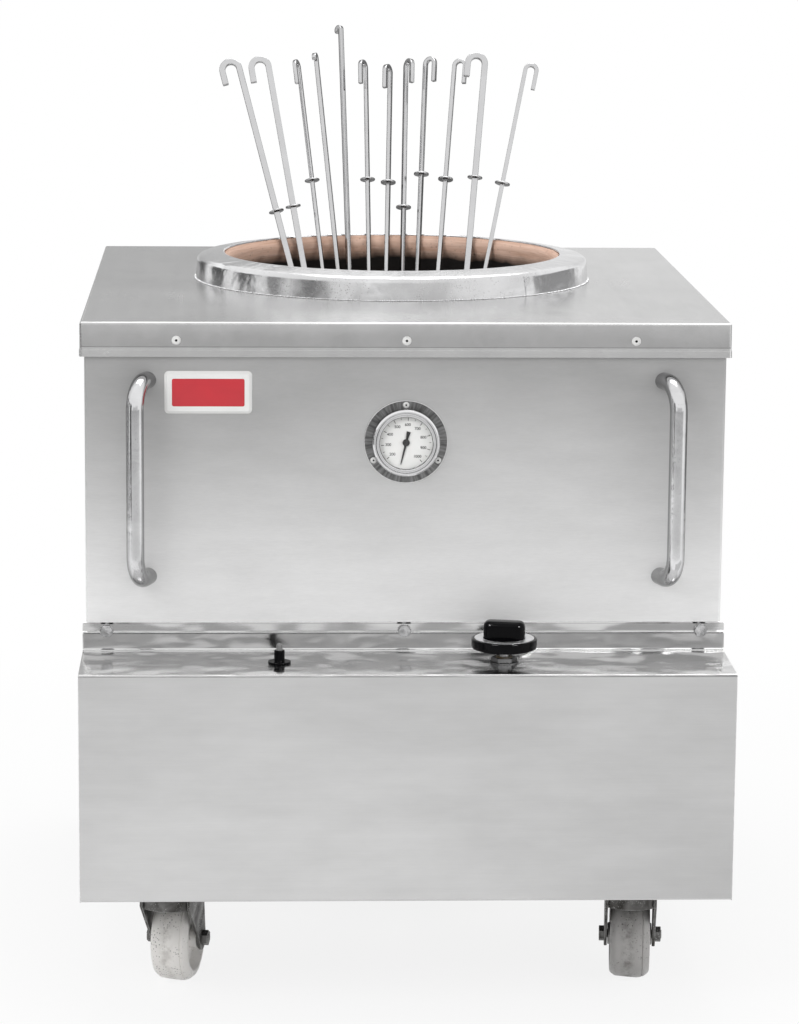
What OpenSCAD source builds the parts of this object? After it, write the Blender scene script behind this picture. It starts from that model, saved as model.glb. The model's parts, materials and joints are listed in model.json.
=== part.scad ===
// Clay tandoor oven: a gas-fired clay pot in a stainless cabinet on swivel casters,
// with hooked skewers standing in the pot. Millimetres. +X is the right-hand side of
// someone facing the front, +Y points to the back and +Z up. The origin is on the
// floor under the middle of the whole oven.

/* [Cabinet] */
// Width of the lid over its hem
lid_w = 864; // [840:1:920]
// Depth of the lid over its hem
lid_d = 914; // [880:1:980]
// Height of the skirt round the lid
skirt_h = 46; // [40:1:56]
// Height of the folded hem at the foot of the skirt
hem_h = 9; // [6:1:14]
// How far the hem stands out past the skirt
hem_step = 0.8; // [0.5:0.1:1.5]
// How far the lid stands out past the cabinet walls
lid_overhang = 6.5; // [5:0.5:10]
// Thickness of the sheet steel
sheet = 1.5; // [1:0.1:2]
// Inside radius of the folds in the sheet
fold_r = 2.5; // [2:0.5:4]
// Height of the cabinet's lower edge above the floor
ground_gap = 165; // [160:1:190]
// Width of the flanges folded in along the cabinet's edges
edge_flange = 22; // [15:1:28]

/* [Control box] */
// How much wider than the cabinet the box is, each side
box_overlap = 4.5; // [2:0.5:8]
// How far the box stands out in front of the cabinet
box_proj = 150; // [130:1:180]
// Height of the box's front face
box_h = 306; // [280:1:330]
// Height of the flange that rises behind the ledge
flange_h = 39; // [36:1:48]
// Height of the slanted strip along the top of the flange
lip_h = 14; // [8:1:14]
// Space between the flange and the front panel
flange_gap = 5; // [3:0.5:8]
// Distance of each outer flange bolt from the cabinet's side
flange_bolt_side = 27.5; // [26:0.5:50]
// Size of the flange bolts across their flats
flange_bolt_af = 15; // [13:1:17]

/* [Pot and collar] */
// How far the pot's axis lies behind the middle of the cabinet
pot_back = 55; // [0:1:60]
// Outer radius of the collar
collar_r = 285; // [280:1:300]
// Height of the collar's outer wall
collar_h = 32; // [26:1:36]
// Height of the collar's inner edge
collar_crown = 38; // [36:1:46]
// Inner radius of the collar, where the clay shows
mouth_r = 243; // [240:1:248]
// Width of the weld between the collar's foot and the deck
weld_w = 2; // [1.2:0.1:3]
// Inner radius of the pot's neck
neck_r = 235; // [228:1:236]
// Depth of the neck below the collar's inner edge
neck_drop = 14; // [10:1:20]
// Inner radius of the pot at its foot
foot_r = 236; // [228:1:250]
// How far the pot's side bulges out between neck and foot
belly = 46; // [20:1:50]
// Thickness of the clay
clay_t = 36; // [28:1:38]
// Height from the pot's foot to the lid's top
pot_h = 600; // [560:1:680]
// Height from the cabinet's lower edge to the pot's foot, where the burner is
hearth_h = 149; // [145:1:180]
// Thickness of the shelf that carries the pot
shelf_t = 5; // [4:0.5:8]

/* [Handles] */
// Diameter of the tube
handle_d = 23.5; // [20:0.5:26]
// Distance of a handle's upper foot below the lid's skirt
handle_above = 32; // [20:1:60]
// Distance of its lower foot above the control box's flange
handle_below = 62; // [30:1:90]
// Distance from the panel to the tube's centre line
handle_reach = 48; // [44:1:60]
// Radius of the tube's bends
handle_bend = 36; // [28:1:38]
// Distance of the feet from the cabinet's sides
handle_side = 82.5; // [65:0.5:100]
// Angle by which a handle leans outward
handle_lean = 18; // [0:1:25]

/* [Badge] */
// Width of the plate
badge_w = 116; // [100:1:130]
// Height of the plate
badge_h = 57; // [50:1:64]
// Thickness of the plate
badge_t = 4; // [3:0.5:5]
// Width of the border round the recessed field
badge_border = 10; // [8:0.5:12]
// Distance of the plate's middle from the cabinet's left side
badge_side = 163.5; // [160:0.5:190]
// Depth of the plate's middle below the lid's top
badge_drop = 94; // [90:1:110]

/* [Thermometer] */
// Radius of the flange
gauge_flange_r = 56; // [54:1:60]
// Radius of the bezel
gauge_bezel_r = 44; // [41:1:44]
// Radius of the dial that shows inside the bezel
gauge_face_r = 35.5; // [33:0.5:37]
// How far the bezel stands out of the panel
gauge_proj = 15; // [12:1:20]
// Depth of the case behind the panel
gauge_back = 22; // [16:1:28]
// Depth of the thermometer's middle below the lid's top
gauge_drop = 160; // [150:1:175]
// Radius of the screw circle
gauge_screw_r = 49.5; // [48:0.5:50]
// Radius of the probe
probe_r = 5; // [4:0.5:6]
// Angle of the pointer at rest, clockwise from straight up
pointer_rest = 193; // [180:1:200]

/* [Knob and igniter] */
// Distance of the knob's axis from the middle of the oven
knob_x = 129; // [100:1:160]
// Radius of the knob's skirt
knob_r = 43.5; // [38:0.5:46]
// Height of the knob's skirt
knob_skirt_h = 14; // [11:0.5:16]
// Height of the skirt's underside above the ledge
knob_lift = 19; // [16:0.5:24]
// Length of the grip bar
grip_l = 55; // [48:1:58]
// Width of the grip bar
grip_w = 27; // [20:1:30]
// Height of the grip bar above the skirt
grip_h = 23; // [18:0.5:26]
// Angle of the grip bar at rest
grip_turn = -12; // [-20:1:20]
// Radius of the valve spindle
spindle_r = 6; // [5:0.5:7]
// Distance of the igniter from the middle of the oven
igniter_x = 168; // [150:1:190]
// Radius of the igniter's round collar
igniter_collar_r = 15; // [13:0.5:17]
// Radius of the igniter's body
igniter_r = 11; // [9:0.5:12]
// Radius of the push button
button_r = 4; // [3:0.5:5]
// How far the button stands out
button_h = 8; // [7:0.5:10]
// Travel of the button
button_travel = 6; // [4:0.5:6]

/* [Gas] */
// Radius of the gas pipes
pipe_r = 8; // [6:0.5:9]
// Radius of the pipe bends
pipe_bend = 25; // [20:1:30]
// Radius of the inlet nipple
inlet_r = 10.5; // [9:0.5:13]
// How far the inlet nipple stands out behind the cabinet
inlet_out = 30; // [22:1:40]
// Distance of the inlet from the cabinet's right side
inlet_side = 125.5; // [115:0.5:170]
// Height of the pipes above the cabinet's lower edge
pipe_up = 85; // [80:1:100]
// Outer radius of the ring burner
burner_r = 105; // [90:1:115]

/* [Casters] */
// Diameter of a wheel
wheel_d = 120; // [110:1:127]
// Width of a wheel
wheel_w = 56; // [50:1:60]
// Gap between the wheel and each leg of the fork
wheel_gap = 3; // [2:0.5:6]
// Distance of the axle behind the kingpin
trail = 36; // [32:1:40]
// Thickness of the fork's steel
fork_t = 4; // [3:0.5:5]
// Angle by which the casters are turned at rest
caster_turn = -13; // [-30:1:30]
// How far the right front caster is turned
right_turn = -5; // [-30:1:30]
// Distance of the kingpins from the cabinet's sides
king_side = 112.5; // [105:0.5:140]
// Distance of the front kingpins behind the front panel
king_front = 10; // [0:1:30]
// Distance of the rear kingpins from the rear wall
king_rear = 90; // [75:1:120]
// Radius of the axle bolt
axle_r = 6; // [5:0.5:7]
// Radius of the kingpin
king_r = 7; // [6:0.5:8]

/* [Skewers] */
// Thickness of the heavy skewers
heavy_bar = 9; // [8:0.5:10]
// Thickness of the light skewers
light_bar = 6; // [5:0.5:7]
// Length of a skewer from its point to the top of its hook
skewer_l = 938; // [920:1:960]
// Radius of the round stop on a skewer
stop_r = 11.5; // [10:0.5:12]
// Radius of a light skewer's hook, to its centre line
hook_r = 8.5; // [8:0.5:11]
// Length of a light hook's straight end
hook_end = 29; // [15:1:32]
// Radius of a heavy skewer's hook, to its centre line
heavy_hook_r = 13; // [11:0.5:14]
// Length of a heavy hook's straight end
heavy_hook_end = 21; // [15:1:26]
// Radius of the curled eye on a skewer without a stop, to its centre line
eye_r = 4.2; // [4:0.1:5]
// Space between a skewer and the pot's neck
lean_gap = 2; // [1:0.5:3]

/* [Hidden] */
$fn = 48;

// Clearances
touch = 0.3;        // between pieces of different bodies at rest
fit = 0.3;          // round a bolt or a pipe in its hole
running = 0.06;     // round a shaft that turns
play = 0.4;         // between neighbouring sheets and flanges
weld_gap = 0.1;     // round the collar's weld

// Cabinet
body_w = lid_w - 2 * lid_overhang;
body_d = lid_d - 2 * lid_overhang;
body_y = (box_proj - inlet_out) / 2;
front_y = body_y - body_d / 2;
rear_y = body_y + body_d / 2;
pot_foot = ground_gap + hearth_h;
lid_top = pot_foot + pot_h;
deck_under = lid_top - sheet;
corner_r = fold_r + sheet;
lap_front = front_y + sheet + play;
lap_half = body_w / 2 - sheet - play;
lap_w = 36;

// Control box
box_w = body_w + 2 * box_overlap;
box_front = front_y - box_proj;
ledge_z = ground_gap + box_h;
ledge_y = front_y - box_proj / 2;
flange_y = front_y - flange_gap;
flange_bolt_x = body_w / 2 - flange_bolt_side;
flange_bolt_z = ledge_z + flange_h - lip_h + 3;
panel_z = ledge_z + 3;

// Pot
pot_y = body_y + pot_back;
neck_z = lid_top + collar_crown - neck_drop;
lip_top = lid_top + collar_crown - 3;
pot_steps = 18;
shelf_under = pot_foot - shelf_t;
spreader_top = pot_foot + 35;

// Base frame
frame_leg = 40;
frame_t = 4;
frame_front = box_front + sheet + edge_flange + play;
frame_rear = rear_y - sheet - play;
frame_half = lap_half - sheet - play;
channel_half = body_w / 2 - edge_flange - 2;
channel_w = 110;
channel_t = 5;
rail_z = ground_gap + frame_leg;
rail_gap = 120;
rail_w = 30;

// Casters, in the order front left, front right, rear left, rear right
king_x = body_w / 2 - king_side;
king_pos = [
    [-king_x, front_y + king_front], [king_x, front_y + king_front],
    [-king_x, rear_y - king_rear], [king_x, rear_y - king_rear]
];
// Turn of each caster, in the same order
king_turn = [caster_turn, right_turn, caster_turn, caster_turn];
wheel_r = wheel_d / 2;
crown_z = wheel_d + 9;
crown_l = 92;
fork_half = wheel_w / 2 + wheel_gap + fork_t;
boss_r = 17;
plate_t = 5;
plate_w = 100;
plate_d = 86;
plate_z = ground_gap - plate_t;
plate_bolt_x = 38;
plate_bolt_y = 31;
race_r = 28;
lip_drop = 12;
// How far an eye curls on past a half turn, and how far its bar reaches into it
eye_curl = 40;
fuse = 0.05;

// Front fittings
handle_x = body_w / 2 - handle_side;
handle_high = lid_top - skirt_h - handle_above;
handle_low = ledge_z + flange_h + handle_below;
handle_span = handle_high - handle_low;
handle_z = (handle_high + handle_low) / 2;
gauge_z = lid_top - gauge_drop;
badge_x = body_w / 2 - badge_side;
badge_z = lid_top - badge_drop;
gauge_can_r = gauge_bezel_r - 5;
dial_y = front_y - gauge_proj + 8;
rivet_z = lid_top - skirt_h / 2 - 1;
rivet_end = 128;
screw_r = 4;

// Gas parts
knob_z = ledge_z + knob_lift;
valve_r = 20;
valve_top = ledge_z - sheet - 2;
valve_drop = 78;
inlet_x = body_w / 2 - inlet_side;
pipe_z = ground_gap + pipe_up;
bore_top = knob_z + knob_skirt_h;
ring_r = knob_r - 4;
ring_w = 11.5;
burner_top = pot_foot - 32;
burner_h = 34;
tube_r = 22;
mixer_end = front_y + 60;

// The skewers as they stand. Each row holds the angle round the rim, counted from the
// back towards the left, the place of the point on the heat spreader, the height of the
// round stop above the neck (0 where it has none), the direction of the hook, the bar's
// thickness and what the skewer's length adds to the usual one.
skewers = [
    [42, 5, -45, 56, 180, heavy_bar, 12],
    [35, -25, 25, 60, 180, heavy_bar, -23],
    [26, -30, -20, 100, 250, light_bar, -13],
    [19.5, -15, 35, 0, 250, light_bar, -23],
    [14.5, -40, -10, 0, 130, light_bar, 42],
    [6.5, -20, -20, 100, 240, light_bar, -9],
    [-0.5, -15, -30, 96, 240, light_bar, -10],
    [-6.5, 10, -15, 56, 300, light_bar, -9],
    [-12.5, 20, -15, 109, 320, light_bar, -6],
    [-21, 25, -60, 104, 340, light_bar, 15],
    [-33, 65, -15, 106, 180, heavy_bar, -10],
    [-42, 25, -25, 100, 0, light_bar, -11]
];

// ---- Sheet metal helpers ------------------------------------------------------

// A rectangle with round corners, centred
module round_rect(w, d, r) {
    square([w - 2 * r, d], center = true);
    square([w, d - 2 * r], center = true);
    for (sx = [-1, 1], sy = [-1, 1])
        translate([sx * (w / 2 - r), sy * (d / 2 - r)]) circle(r);
}

// A ring of sheet with round corners, centred
module rect_ring(w, d, r, t) {
    difference() {
        round_rect(w, d, r);
        round_rect(w - 2 * t, d - 2 * t, max(r - t, 0.2));
    }
}

// A block whose edges are rounded by r along all of its sides but the lower ones
module soft_block(w, d, h, r) {
    intersection() {
        linear_extrude(h) round_rect(w, d, r);
        rotate([90, 0, 0]) linear_extrude(d + 2, center = true) round_top(w, h, r);
        rotate([90, 0, 90]) linear_extrude(w + 2, center = true) round_top(d, h, r);
    }
}

// The front view of such a block: square below, round above
module round_top(w, h, r) {
    translate([-w / 2, 0]) square([w, h - r]);
    translate([-w / 2 + r, 0]) square([w - 2 * r, h]);
    for (s = [-1, 1]) translate([s * (w / 2 - r), h - r]) circle(r);
}

function unit(v) = v / norm(v);
function left_of(v) = [-v[1], v[0]];
function turn_of(a, b) = atan2(a[0] * b[1] - a[1] * b[0], a * b);

// The section of a folded sheet. The path runs along one face of the sheet, which lies
// to its left. Inside every fold the radius is r.
module folded_sheet(path, t, r) {
    last = len(path) - 1;
    dirs = [for (i = [0:last - 1]) unit(path[i + 1] - path[i])];
    turns = [for (i = [0:last]) i == 0 || i == last ? 0 : turn_of(dirs[i - 1], dirs[i])];
    // The radius on the path's own face is the larger one where the path turns left
    radii = [for (a = turns) a > 0 ? r + t : r];
    trims = [for (i = [0:last]) radii[i] * tan(abs(turns[i]) / 2)];
    for (i = [0:last - 1]) {
        span = norm(path[i + 1] - path[i]) - trims[i] - trims[i + 1];
        translate(path[i] + dirs[i] * trims[i])
            rotate(atan2(dirs[i][1], dirs[i][0])) square([span, t]);
    }
    for (i = [1:1:last - 1]) {
        side = turns[i] > 0 ? 1 : -1;
        start = path[i] - dirs[i - 1] * trims[i];
        centre = start + left_of(dirs[i - 1]) * side * radii[i];
        from = unit(start - centre);
        to = unit(path[i] + dirs[i] * trims[i] - centre);
        reach = 3 * (r + t);
        translate(centre) intersection() {
            difference() {
                circle(r + t);
                circle(r);
            }
            polygon([[0, 0], from * reach, unit(from + to) * reach * 1.5, to * reach]);
        }
    }
}

// ---- Fastener helpers ---------------------------------------------------------

// A hex bolt along +Z: its head lies below z = 0 and its shank above
module hex_bolt(af, head_h, r, l) {
    translate([0, 0, -head_h]) cylinder(r = af / sqrt(3), h = head_h, $fn = 6);
    cylinder(r = r, h = l);
}

// A round-headed screw along +Z with a slot-less low dome: head below z = 0
module dome_screw(head_r, head_h, r, l) {
    dome = (head_r * head_r + head_h * head_h) / (2 * head_h);
    intersection() {
        translate([0, 0, dome - head_h]) sphere(dome, $fn = 96);
        translate([0, 0, -head_h]) cylinder(r = head_r, h = head_h);
    }
    cylinder(r = r, h = l);
}

// Places children on the front panel at x, z, with +Z turned to the back
module on_panel(x, z, y = front_y) {
    translate([x, y, z]) rotate([-90, 0, 0]) children();
}

// ---- Tube helper --------------------------------------------------------------

// One bend of a tube at corner p, from direction a to direction b
module tube_bend(p, a, b, r, bend) {
    n = cross(a, b);
    c = p - a * bend + b * bend;
    multmatrix([
        [-b[0], a[0], n[0], c[0]],
        [-b[1], a[1], n[1], c[1]],
        [-b[2], a[2], n[2], c[2]],
        [0, 0, 0, 1]
    ]) mirror([0, 0, 1]) rotate_extrude(angle = 90) translate([bend, 0]) circle(r);
}

// A straight piece of round bar from p to q
module bar_between(p, q, r) {
    v = q - p;
    translate(p)
        rotate([0, acos(v[2] / norm(v)), atan2(v[1], v[0])]) cylinder(r = r, h = norm(v));
}

// A tube along points whose legs meet at right angles
module tube_run(points, r, bend) {
    last = len(points) - 1;
    dirs = [for (i = [0:last - 1]) unit(points[i + 1] - points[i])];
    for (i = [0:last - 1])
        bar_between(
            points[i] + dirs[i] * (i == 0 ? 0 : bend),
            points[i + 1] - dirs[i] * (i == last - 1 ? 0 : bend), r);
    for (i = [1:1:last - 1]) tube_bend(points[i], dirs[i - 1], dirs[i], r, bend);
}

// ---- Cabinet ------------------------------------------------------------------

module cabinet_shell() {
    wall_h = deck_under - ground_gap;
    color("silver") difference() {
        union() {
            // Left, rear and right walls, folded from one sheet
            translate([0, body_y, ground_gap]) linear_extrude(wall_h) difference() {
                rect_ring(body_w, body_d, corner_r, sheet);
                translate([-body_w, -body_d - body_d / 2 + edge_flange + sheet + play])
                    square([2 * body_w, body_d]);
            }
            for (s = [0, 1]) mirror([s, 0, 0]) {
                // Front edge, stepped in to lie inside the front panel's folded side
                translate([0, 0, rail_z + play]) linear_extrude(deck_under - rail_z - play) {
                    folded_sheet([
                        [lap_half - lap_w, lap_front],
                        [lap_half, lap_front],
                        [lap_half, lap_front + 2 * edge_flange]
                    ], sheet, fold_r);
                    // Joggle that carries the stepped edge on to the wall
                    translate([lap_half - 0.1, front_y + edge_flange + sheet + 2 * play])
                        square([play + 0.2, edge_flange - sheet]);
                }
                // Below the front panel the wall runs on to the control box
                translate([body_w / 2 - sheet, front_y, ground_gap])
                    cube([sheet, 2 * edge_flange, panel_z - play - ground_gap]);
            }
            // Flanges folded in under the lid and along the foot
            for (z = [ground_gap, deck_under - sheet])
                translate([0, body_y, z]) linear_extrude(sheet) difference() {
                    round_rect(body_w - sheet, body_d - sheet, corner_r);
                    round_rect(body_w - 2 * edge_flange, body_d - 2 * edge_flange, corner_r);
                    translate([-body_w, -body_d - body_d / 2 + edge_flange + sheet + play])
                        square([2 * body_w, body_d]);
                }
        }
        // Holes for the gas inlet and the outer flange bolts
        for (s = [-1, 1]) on_panel(s * flange_bolt_x, flange_bolt_z, lap_front - sheet)
            cylinder(r = screw_r + fit, h = 3 * sheet);
        on_panel(inlet_x, pipe_z, rear_y - 2 * sheet) cylinder(r = inlet_r + fit, h = 4 * sheet);
        rivet_holes();
    }
}

module front_panel() {
    color("silver") difference() {
        translate([0, 0, panel_z]) linear_extrude(deck_under - play - panel_z)
            folded_sheet([
                [-body_w / 2, front_y + edge_flange],
                [-body_w / 2, front_y],
                [body_w / 2, front_y],
                [body_w / 2, front_y + edge_flange]
            ], sheet, fold_r);
        on_panel(0, gauge_z, front_y - sheet) cylinder(r = gauge_can_r + fit, h = 4 * sheet);
        for (s = [-1, 1], e = [-1, 1])
            on_panel(s * handle_x, handle_z + e * handle_span / 2, front_y - sheet)
                cylinder(r = screw_r + fit, h = 4 * sheet);
        for (s = [-1:1])
            on_panel(s * flange_bolt_x, flange_bolt_z, front_y - sheet)
                cylinder(r = screw_r + fit, h = 4 * sheet);
        gauge_screw_places() cylinder(r = 1.6 + fit, h = 4 * sheet);
        rivet_holes();
    }
}

module lid() {
    skirt_w = lid_w - 2 * hem_step;
    skirt_d = lid_d - 2 * hem_step;
    color("lightgray") translate([0, body_y, 0]) difference() {
        union() {
            translate([0, 0, lid_top - skirt_h]) difference() {
                soft_block(skirt_w, skirt_d, skirt_h, corner_r);
                translate([0, 0, -sheet])
                    soft_block(skirt_w - 2 * sheet, skirt_d - 2 * sheet, skirt_h, fold_r);
            }
            translate([0, 0, lid_top - skirt_h]) linear_extrude(hem_h)
                rect_ring(lid_w, lid_d, corner_r + hem_step, sheet + hem_step);
        }
        // Hole in which the collar stands
        translate([0, pot_back, lid_top - 2 * sheet])
            cylinder(r = collar_r + weld_w + weld_gap, h = 4 * sheet, $fn = 144);
        translate([0, -body_y, 0]) rivet_holes();
    }
}

// Places of the rivets along the skirt, with +Z pointing into the cabinet
module rivet_places() {
    for (s = [-1:1]) {
        on_panel(s * (lid_w / 2 - rivet_end), rivet_z, body_y - lid_d / 2 + hem_step)
            children();
        translate([s * (lid_w / 2 - rivet_end), body_y + lid_d / 2 - hem_step, rivet_z])
            rotate([90, 0, 0]) children();
        for (e = [-1, 1])
            translate([
                e * (lid_w / 2 - hem_step), body_y + s * (lid_d / 2 - rivet_end), rivet_z
            ])
                rotate([0, -90 * e, 0]) children();
    }
}

module rivet_holes() {
    rivet_places() translate([0, 0, -2]) cylinder(r = 2.6, h = 12 + lid_overhang, $fn = 24);
}

module lid_rivets() {
    color("white") rivet_places() difference() {
        union() {
            dome_screw(6, 2.4, 2.4, lid_overhang + sheet);
            translate([0, 0, lid_overhang + sheet - hem_step]) cylinder(r = 3.8, h = 5);
        }
        translate([0, 0, -4]) cylinder(r = 1.5, h = 9, $fn = 24);
    }
}

module mouth_collar() {
    color("gainsboro") translate([0, pot_y, lid_top]) rotate_extrude($fn = 144) {
        folded_sheet([
            [collar_r, -sheet], [collar_r, collar_h],
            [mouth_r, collar_crown], [mouth_r, collar_crown - 8]
        ], sheet + 0.5, 5);
        // Weld that fills the gap to the deck's edge
        translate([collar_r - 0.2, -sheet]) square([weld_w + 0.2, sheet]);
        intersection() {
            translate([collar_r, 0]) circle(weld_w);
            translate([collar_r - 0.2, -0.1]) square([weld_w + 1, weld_w + 1]);
        }
    }
}

// ---- Pot ----------------------------------------------------------------------

// Inner radius of the pot, where u runs from 0 at the foot to 1 at the neck
function pot_inner(u) = foot_r + (neck_r - foot_r) * u + belly * sin(180 * u);
function pot_height(u) = pot_foot + (neck_z - pot_foot) * u;
inner_side = [for (i = [0:pot_steps]) [pot_inner(i / pot_steps), pot_height(i / pot_steps)]];
// The outer side runs from the foot to a shoulder under the lid
shoulder_z = lid_top - 30;
shoulder_r = neck_r + clay_t;
outer_side = [
    for (i = [pot_steps:-1:0]) let (u = i / pot_steps)
        [pot_inner(u) + clay_t, pot_foot + (shoulder_z - pot_foot) * u]
];

module pot_section() {
    seat_z = lid_top + collar_crown - 10;
    polygon(concat(
        inner_side,
        // The neck flares to the lip, which shows inside the collar
        [[neck_r + 4, neck_z + 7], [mouth_r - 2.5, lip_top - 2], [mouth_r - 1, lip_top]],
        // Seat under the collar's turned-down edge
        [[mouth_r - 0.8, seat_z], [shoulder_r - 3, seat_z], [shoulder_r, seat_z - 4]],
        outer_side
    ));
}

module clay_pot() {
    color("rosybrown") difference() {
        translate([0, pot_y, 0]) rotate_extrude($fn = 144) pot_section();
        // Hole for the thermometer's probe
        on_panel(0, gauge_z, pot_y - collar_r - belly - clay_t)
            cylinder(r = probe_r + 1, h = clay_t + belly + collar_r - neck_r + 60);
    }
}

module insulation() {
    block_w = body_w - 2 * sheet - 6;
    front_space = 14;
    block_d = body_d - 2 * sheet - front_space - edge_flange;
    color("khaki") difference() {
        translate([0, body_y + front_space / 2, pot_foot])
            linear_extrude(deck_under - sheet - 2 - pot_foot)
                round_rect(block_w - 2 * edge_flange, block_d - edge_flange, 10);
        // Space of the pot
        translate([0, pot_y, 0]) rotate_extrude($fn = 144) polygon(concat(
            [[0, pot_foot - 1]], [[foot_r + clay_t + play, pot_foot - 1]],
            [for (i = [len(outer_side) - 1:-1:0]) outer_side[i] + [play, 0]],
            [[shoulder_r + play, lid_top + 1], [0, lid_top + 1]]
        ));
        // Pockets behind the thermometer and the rivets
        on_panel(0, gauge_z) cylinder(r = gauge_flange_r, h = gauge_back + 20);
        on_panel(0, gauge_z) cylinder(r = probe_r + 1, h = body_d / 2);
    }
}

module pot_shelf() {
    half_x = frame_half - frame_leg;
    legs_y = [front_y + 60, rear_y - 60];
    leg = 32;
    color("dimgray") {
        difference() {
            translate([-half_x, front_y + 40, shelf_under])
                cube([2 * half_x, body_d - 80, shelf_t]);
            translate([0, pot_y, shelf_under - 1])
                cylinder(r = foot_r - 14, h = shelf_t + 2, $fn = 96);
        }
        // Angle legs down to the base frame
        for (s = [-1, 1], y = legs_y) translate([s * (half_x - 4), y, rail_z]) {
            dy = y < body_y ? 1 : -1;
            translate([s > 0 ? -leg : 0, dy > 0 ? 0 : -frame_t, 0])
                cube([leg, frame_t, shelf_under - rail_z]);
            translate([s > 0 ? -frame_t : 0, dy > 0 ? 0 : -leg, 0])
                cube([frame_t, leg, shelf_under - rail_z]);
        }
    }
}

module heat_spreader() {
    arm = 2 * (foot_r - 3);
    arm_h = 6;
    plate_r = 130;
    plate_h = 10;
    color("saddlebrown") translate([0, pot_y, 0]) {
        translate([0, 0, spreader_top - plate_h]) cylinder(r = plate_r, h = plate_h, $fn = 96);
        for (a = [45, 135]) rotate(a)
            translate([-arm / 2, -15, pot_foot]) cube([arm, 30, arm_h]);
        for (a = [45:90:315]) rotate(a) translate([plate_r - 25, 0, pot_foot])
            cylinder(r = 11, h = spreader_top - plate_h - pot_foot);
    }
}

// ---- Base frame ---------------------------------------------------------------

module base_frame() {
    depth = frame_rear - frame_front;
    mid = (frame_rear + frame_front) / 2;
    lift = sheet + play;
    channels = [for (k = [0, 2]) king_pos[k][1]];
    color("gray") difference() {
        union() {
            // Perimeter of angle: a level leg below and an upright leg outside
            translate([0, mid, ground_gap + lift]) {
                linear_extrude(frame_t) difference() {
                    square([2 * frame_half, depth], center = true);
                    square([2 * (frame_half - frame_leg), depth - 2 * frame_leg], center = true);
                }
                linear_extrude(frame_leg - lift) difference() {
                    square([2 * frame_half, depth], center = true);
                    square([2 * (frame_half - frame_t), depth - 2 * frame_t], center = true);
                }
            }
            // Channels across the frame, on which the casters are bolted
            for (y = channels) translate([-channel_half, y, ground_gap]) {
                translate([0, -channel_w / 2, 0])
                    cube([2 * channel_half, channel_w, channel_t]);
                for (e = [-1, 1])
                    translate([0, e * (channel_w - channel_t) / 2 - channel_t / 2, 0])
                        cube([2 * channel_half, channel_t, frame_leg]);
            }
            // Rails that carry the burner
            for (s = [-1, 1]) translate([s * rail_gap / 2 - rail_w / 2, channels[0], rail_z])
                cube([rail_w, channels[1] - channels[0], 5]);
            // Blocks under the legs of the pot's shelf
            for (s = [-1, 1], y = [front_y + 60, rear_y - 60 - 40])
                translate([s * (frame_half - frame_leg / 2 - 18) - 22, y, ground_gap + lift])
                    cube([44, 40, frame_leg - lift]);
        }
        caster_bolt_places() translate([0, 0, -1]) cylinder(r = 5 + fit, h = channel_t + 2);
        for (k = king_pos)
            translate([k[0], k[1], ground_gap - 1]) cylinder(r = king_r + 4, h = channel_t + 2);
    }
}

// ---- Control box --------------------------------------------------------------

module control_box() {
    flange_top = ledge_z + flange_h;
    color("silver") difference() {
        union() {
            // Front face, ledge and flange, folded from one sheet
            translate([box_w / 2, 0, 0]) rotate([90, 0, -90]) linear_extrude(box_w)
                folded_sheet([
                    [-box_front - edge_flange, ground_gap],
                    [-box_front, ground_gap],
                    [-box_front, ledge_z],
                    [-flange_y, ledge_z],
                    [-flange_y, flange_top - lip_h],
                    [-front_y + sheet + 0.2, flange_top]
                ], sheet, fold_r);
            // End cheeks, welded in
            for (s = [-1, 1]) translate([s * (box_w / 2 - sheet / 2), 0, 0])
                rotate([90, 0, 90]) linear_extrude(sheet, center = true) cheek_outline();
        }
        translate([knob_x, ledge_y, ledge_z - 2 * sheet]) cylinder(r = 12, h = 4 * sheet);
        translate([-igniter_x, ledge_y, ledge_z - 2 * sheet])
            cylinder(r = igniter_r + fit, h = 4 * sheet);
        for (s = [-1:1]) on_panel(s * flange_bolt_x, flange_bolt_z, flange_y - 2 * sheet)
            cylinder(r = screw_r + fit, h = flange_gap + 2 * sheet);
    }
}

// Side view of the box, which closes its ends
module cheek_outline() {
    r = fold_r + sheet;
    translate([box_front, ground_gap]) square([box_proj - play, box_h - r]);
    translate([box_front + r, ground_gap]) square([box_proj - play - r, box_h]);
    translate([box_front + r, ledge_z - r]) circle(r);
    polygon([
        [flange_y - 1, ledge_z - 1], [front_y - play, ledge_z - 1],
        [front_y - play, ledge_z + flange_h - sheet], [flange_y, ledge_z + flange_h - lip_h]
    ]);
}

module flange_bolts() {
    color("whitesmoke") for (s = [-1:1])
        on_panel(s * flange_bolt_x, flange_bolt_z, flange_y) {
            translate([0, 0, -1]) cylinder(r = flange_bolt_af / 2 + 1.5, h = 1);
            translate([0, 0, -1]) hex_bolt(flange_bolt_af, 5, screw_r, flange_gap + 12);
            // Nut behind the panel, and behind the cabinet's stepped edge too at the sides
            translate([0, 0, flange_gap + sheet + (s == 0 ? 0 : sheet + play)])
                cylinder(r = 6.5 / cos(30), h = 5, $fn = 6);
        }
}

// ---- Handles, badge -----------------------------------------------------------

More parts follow.
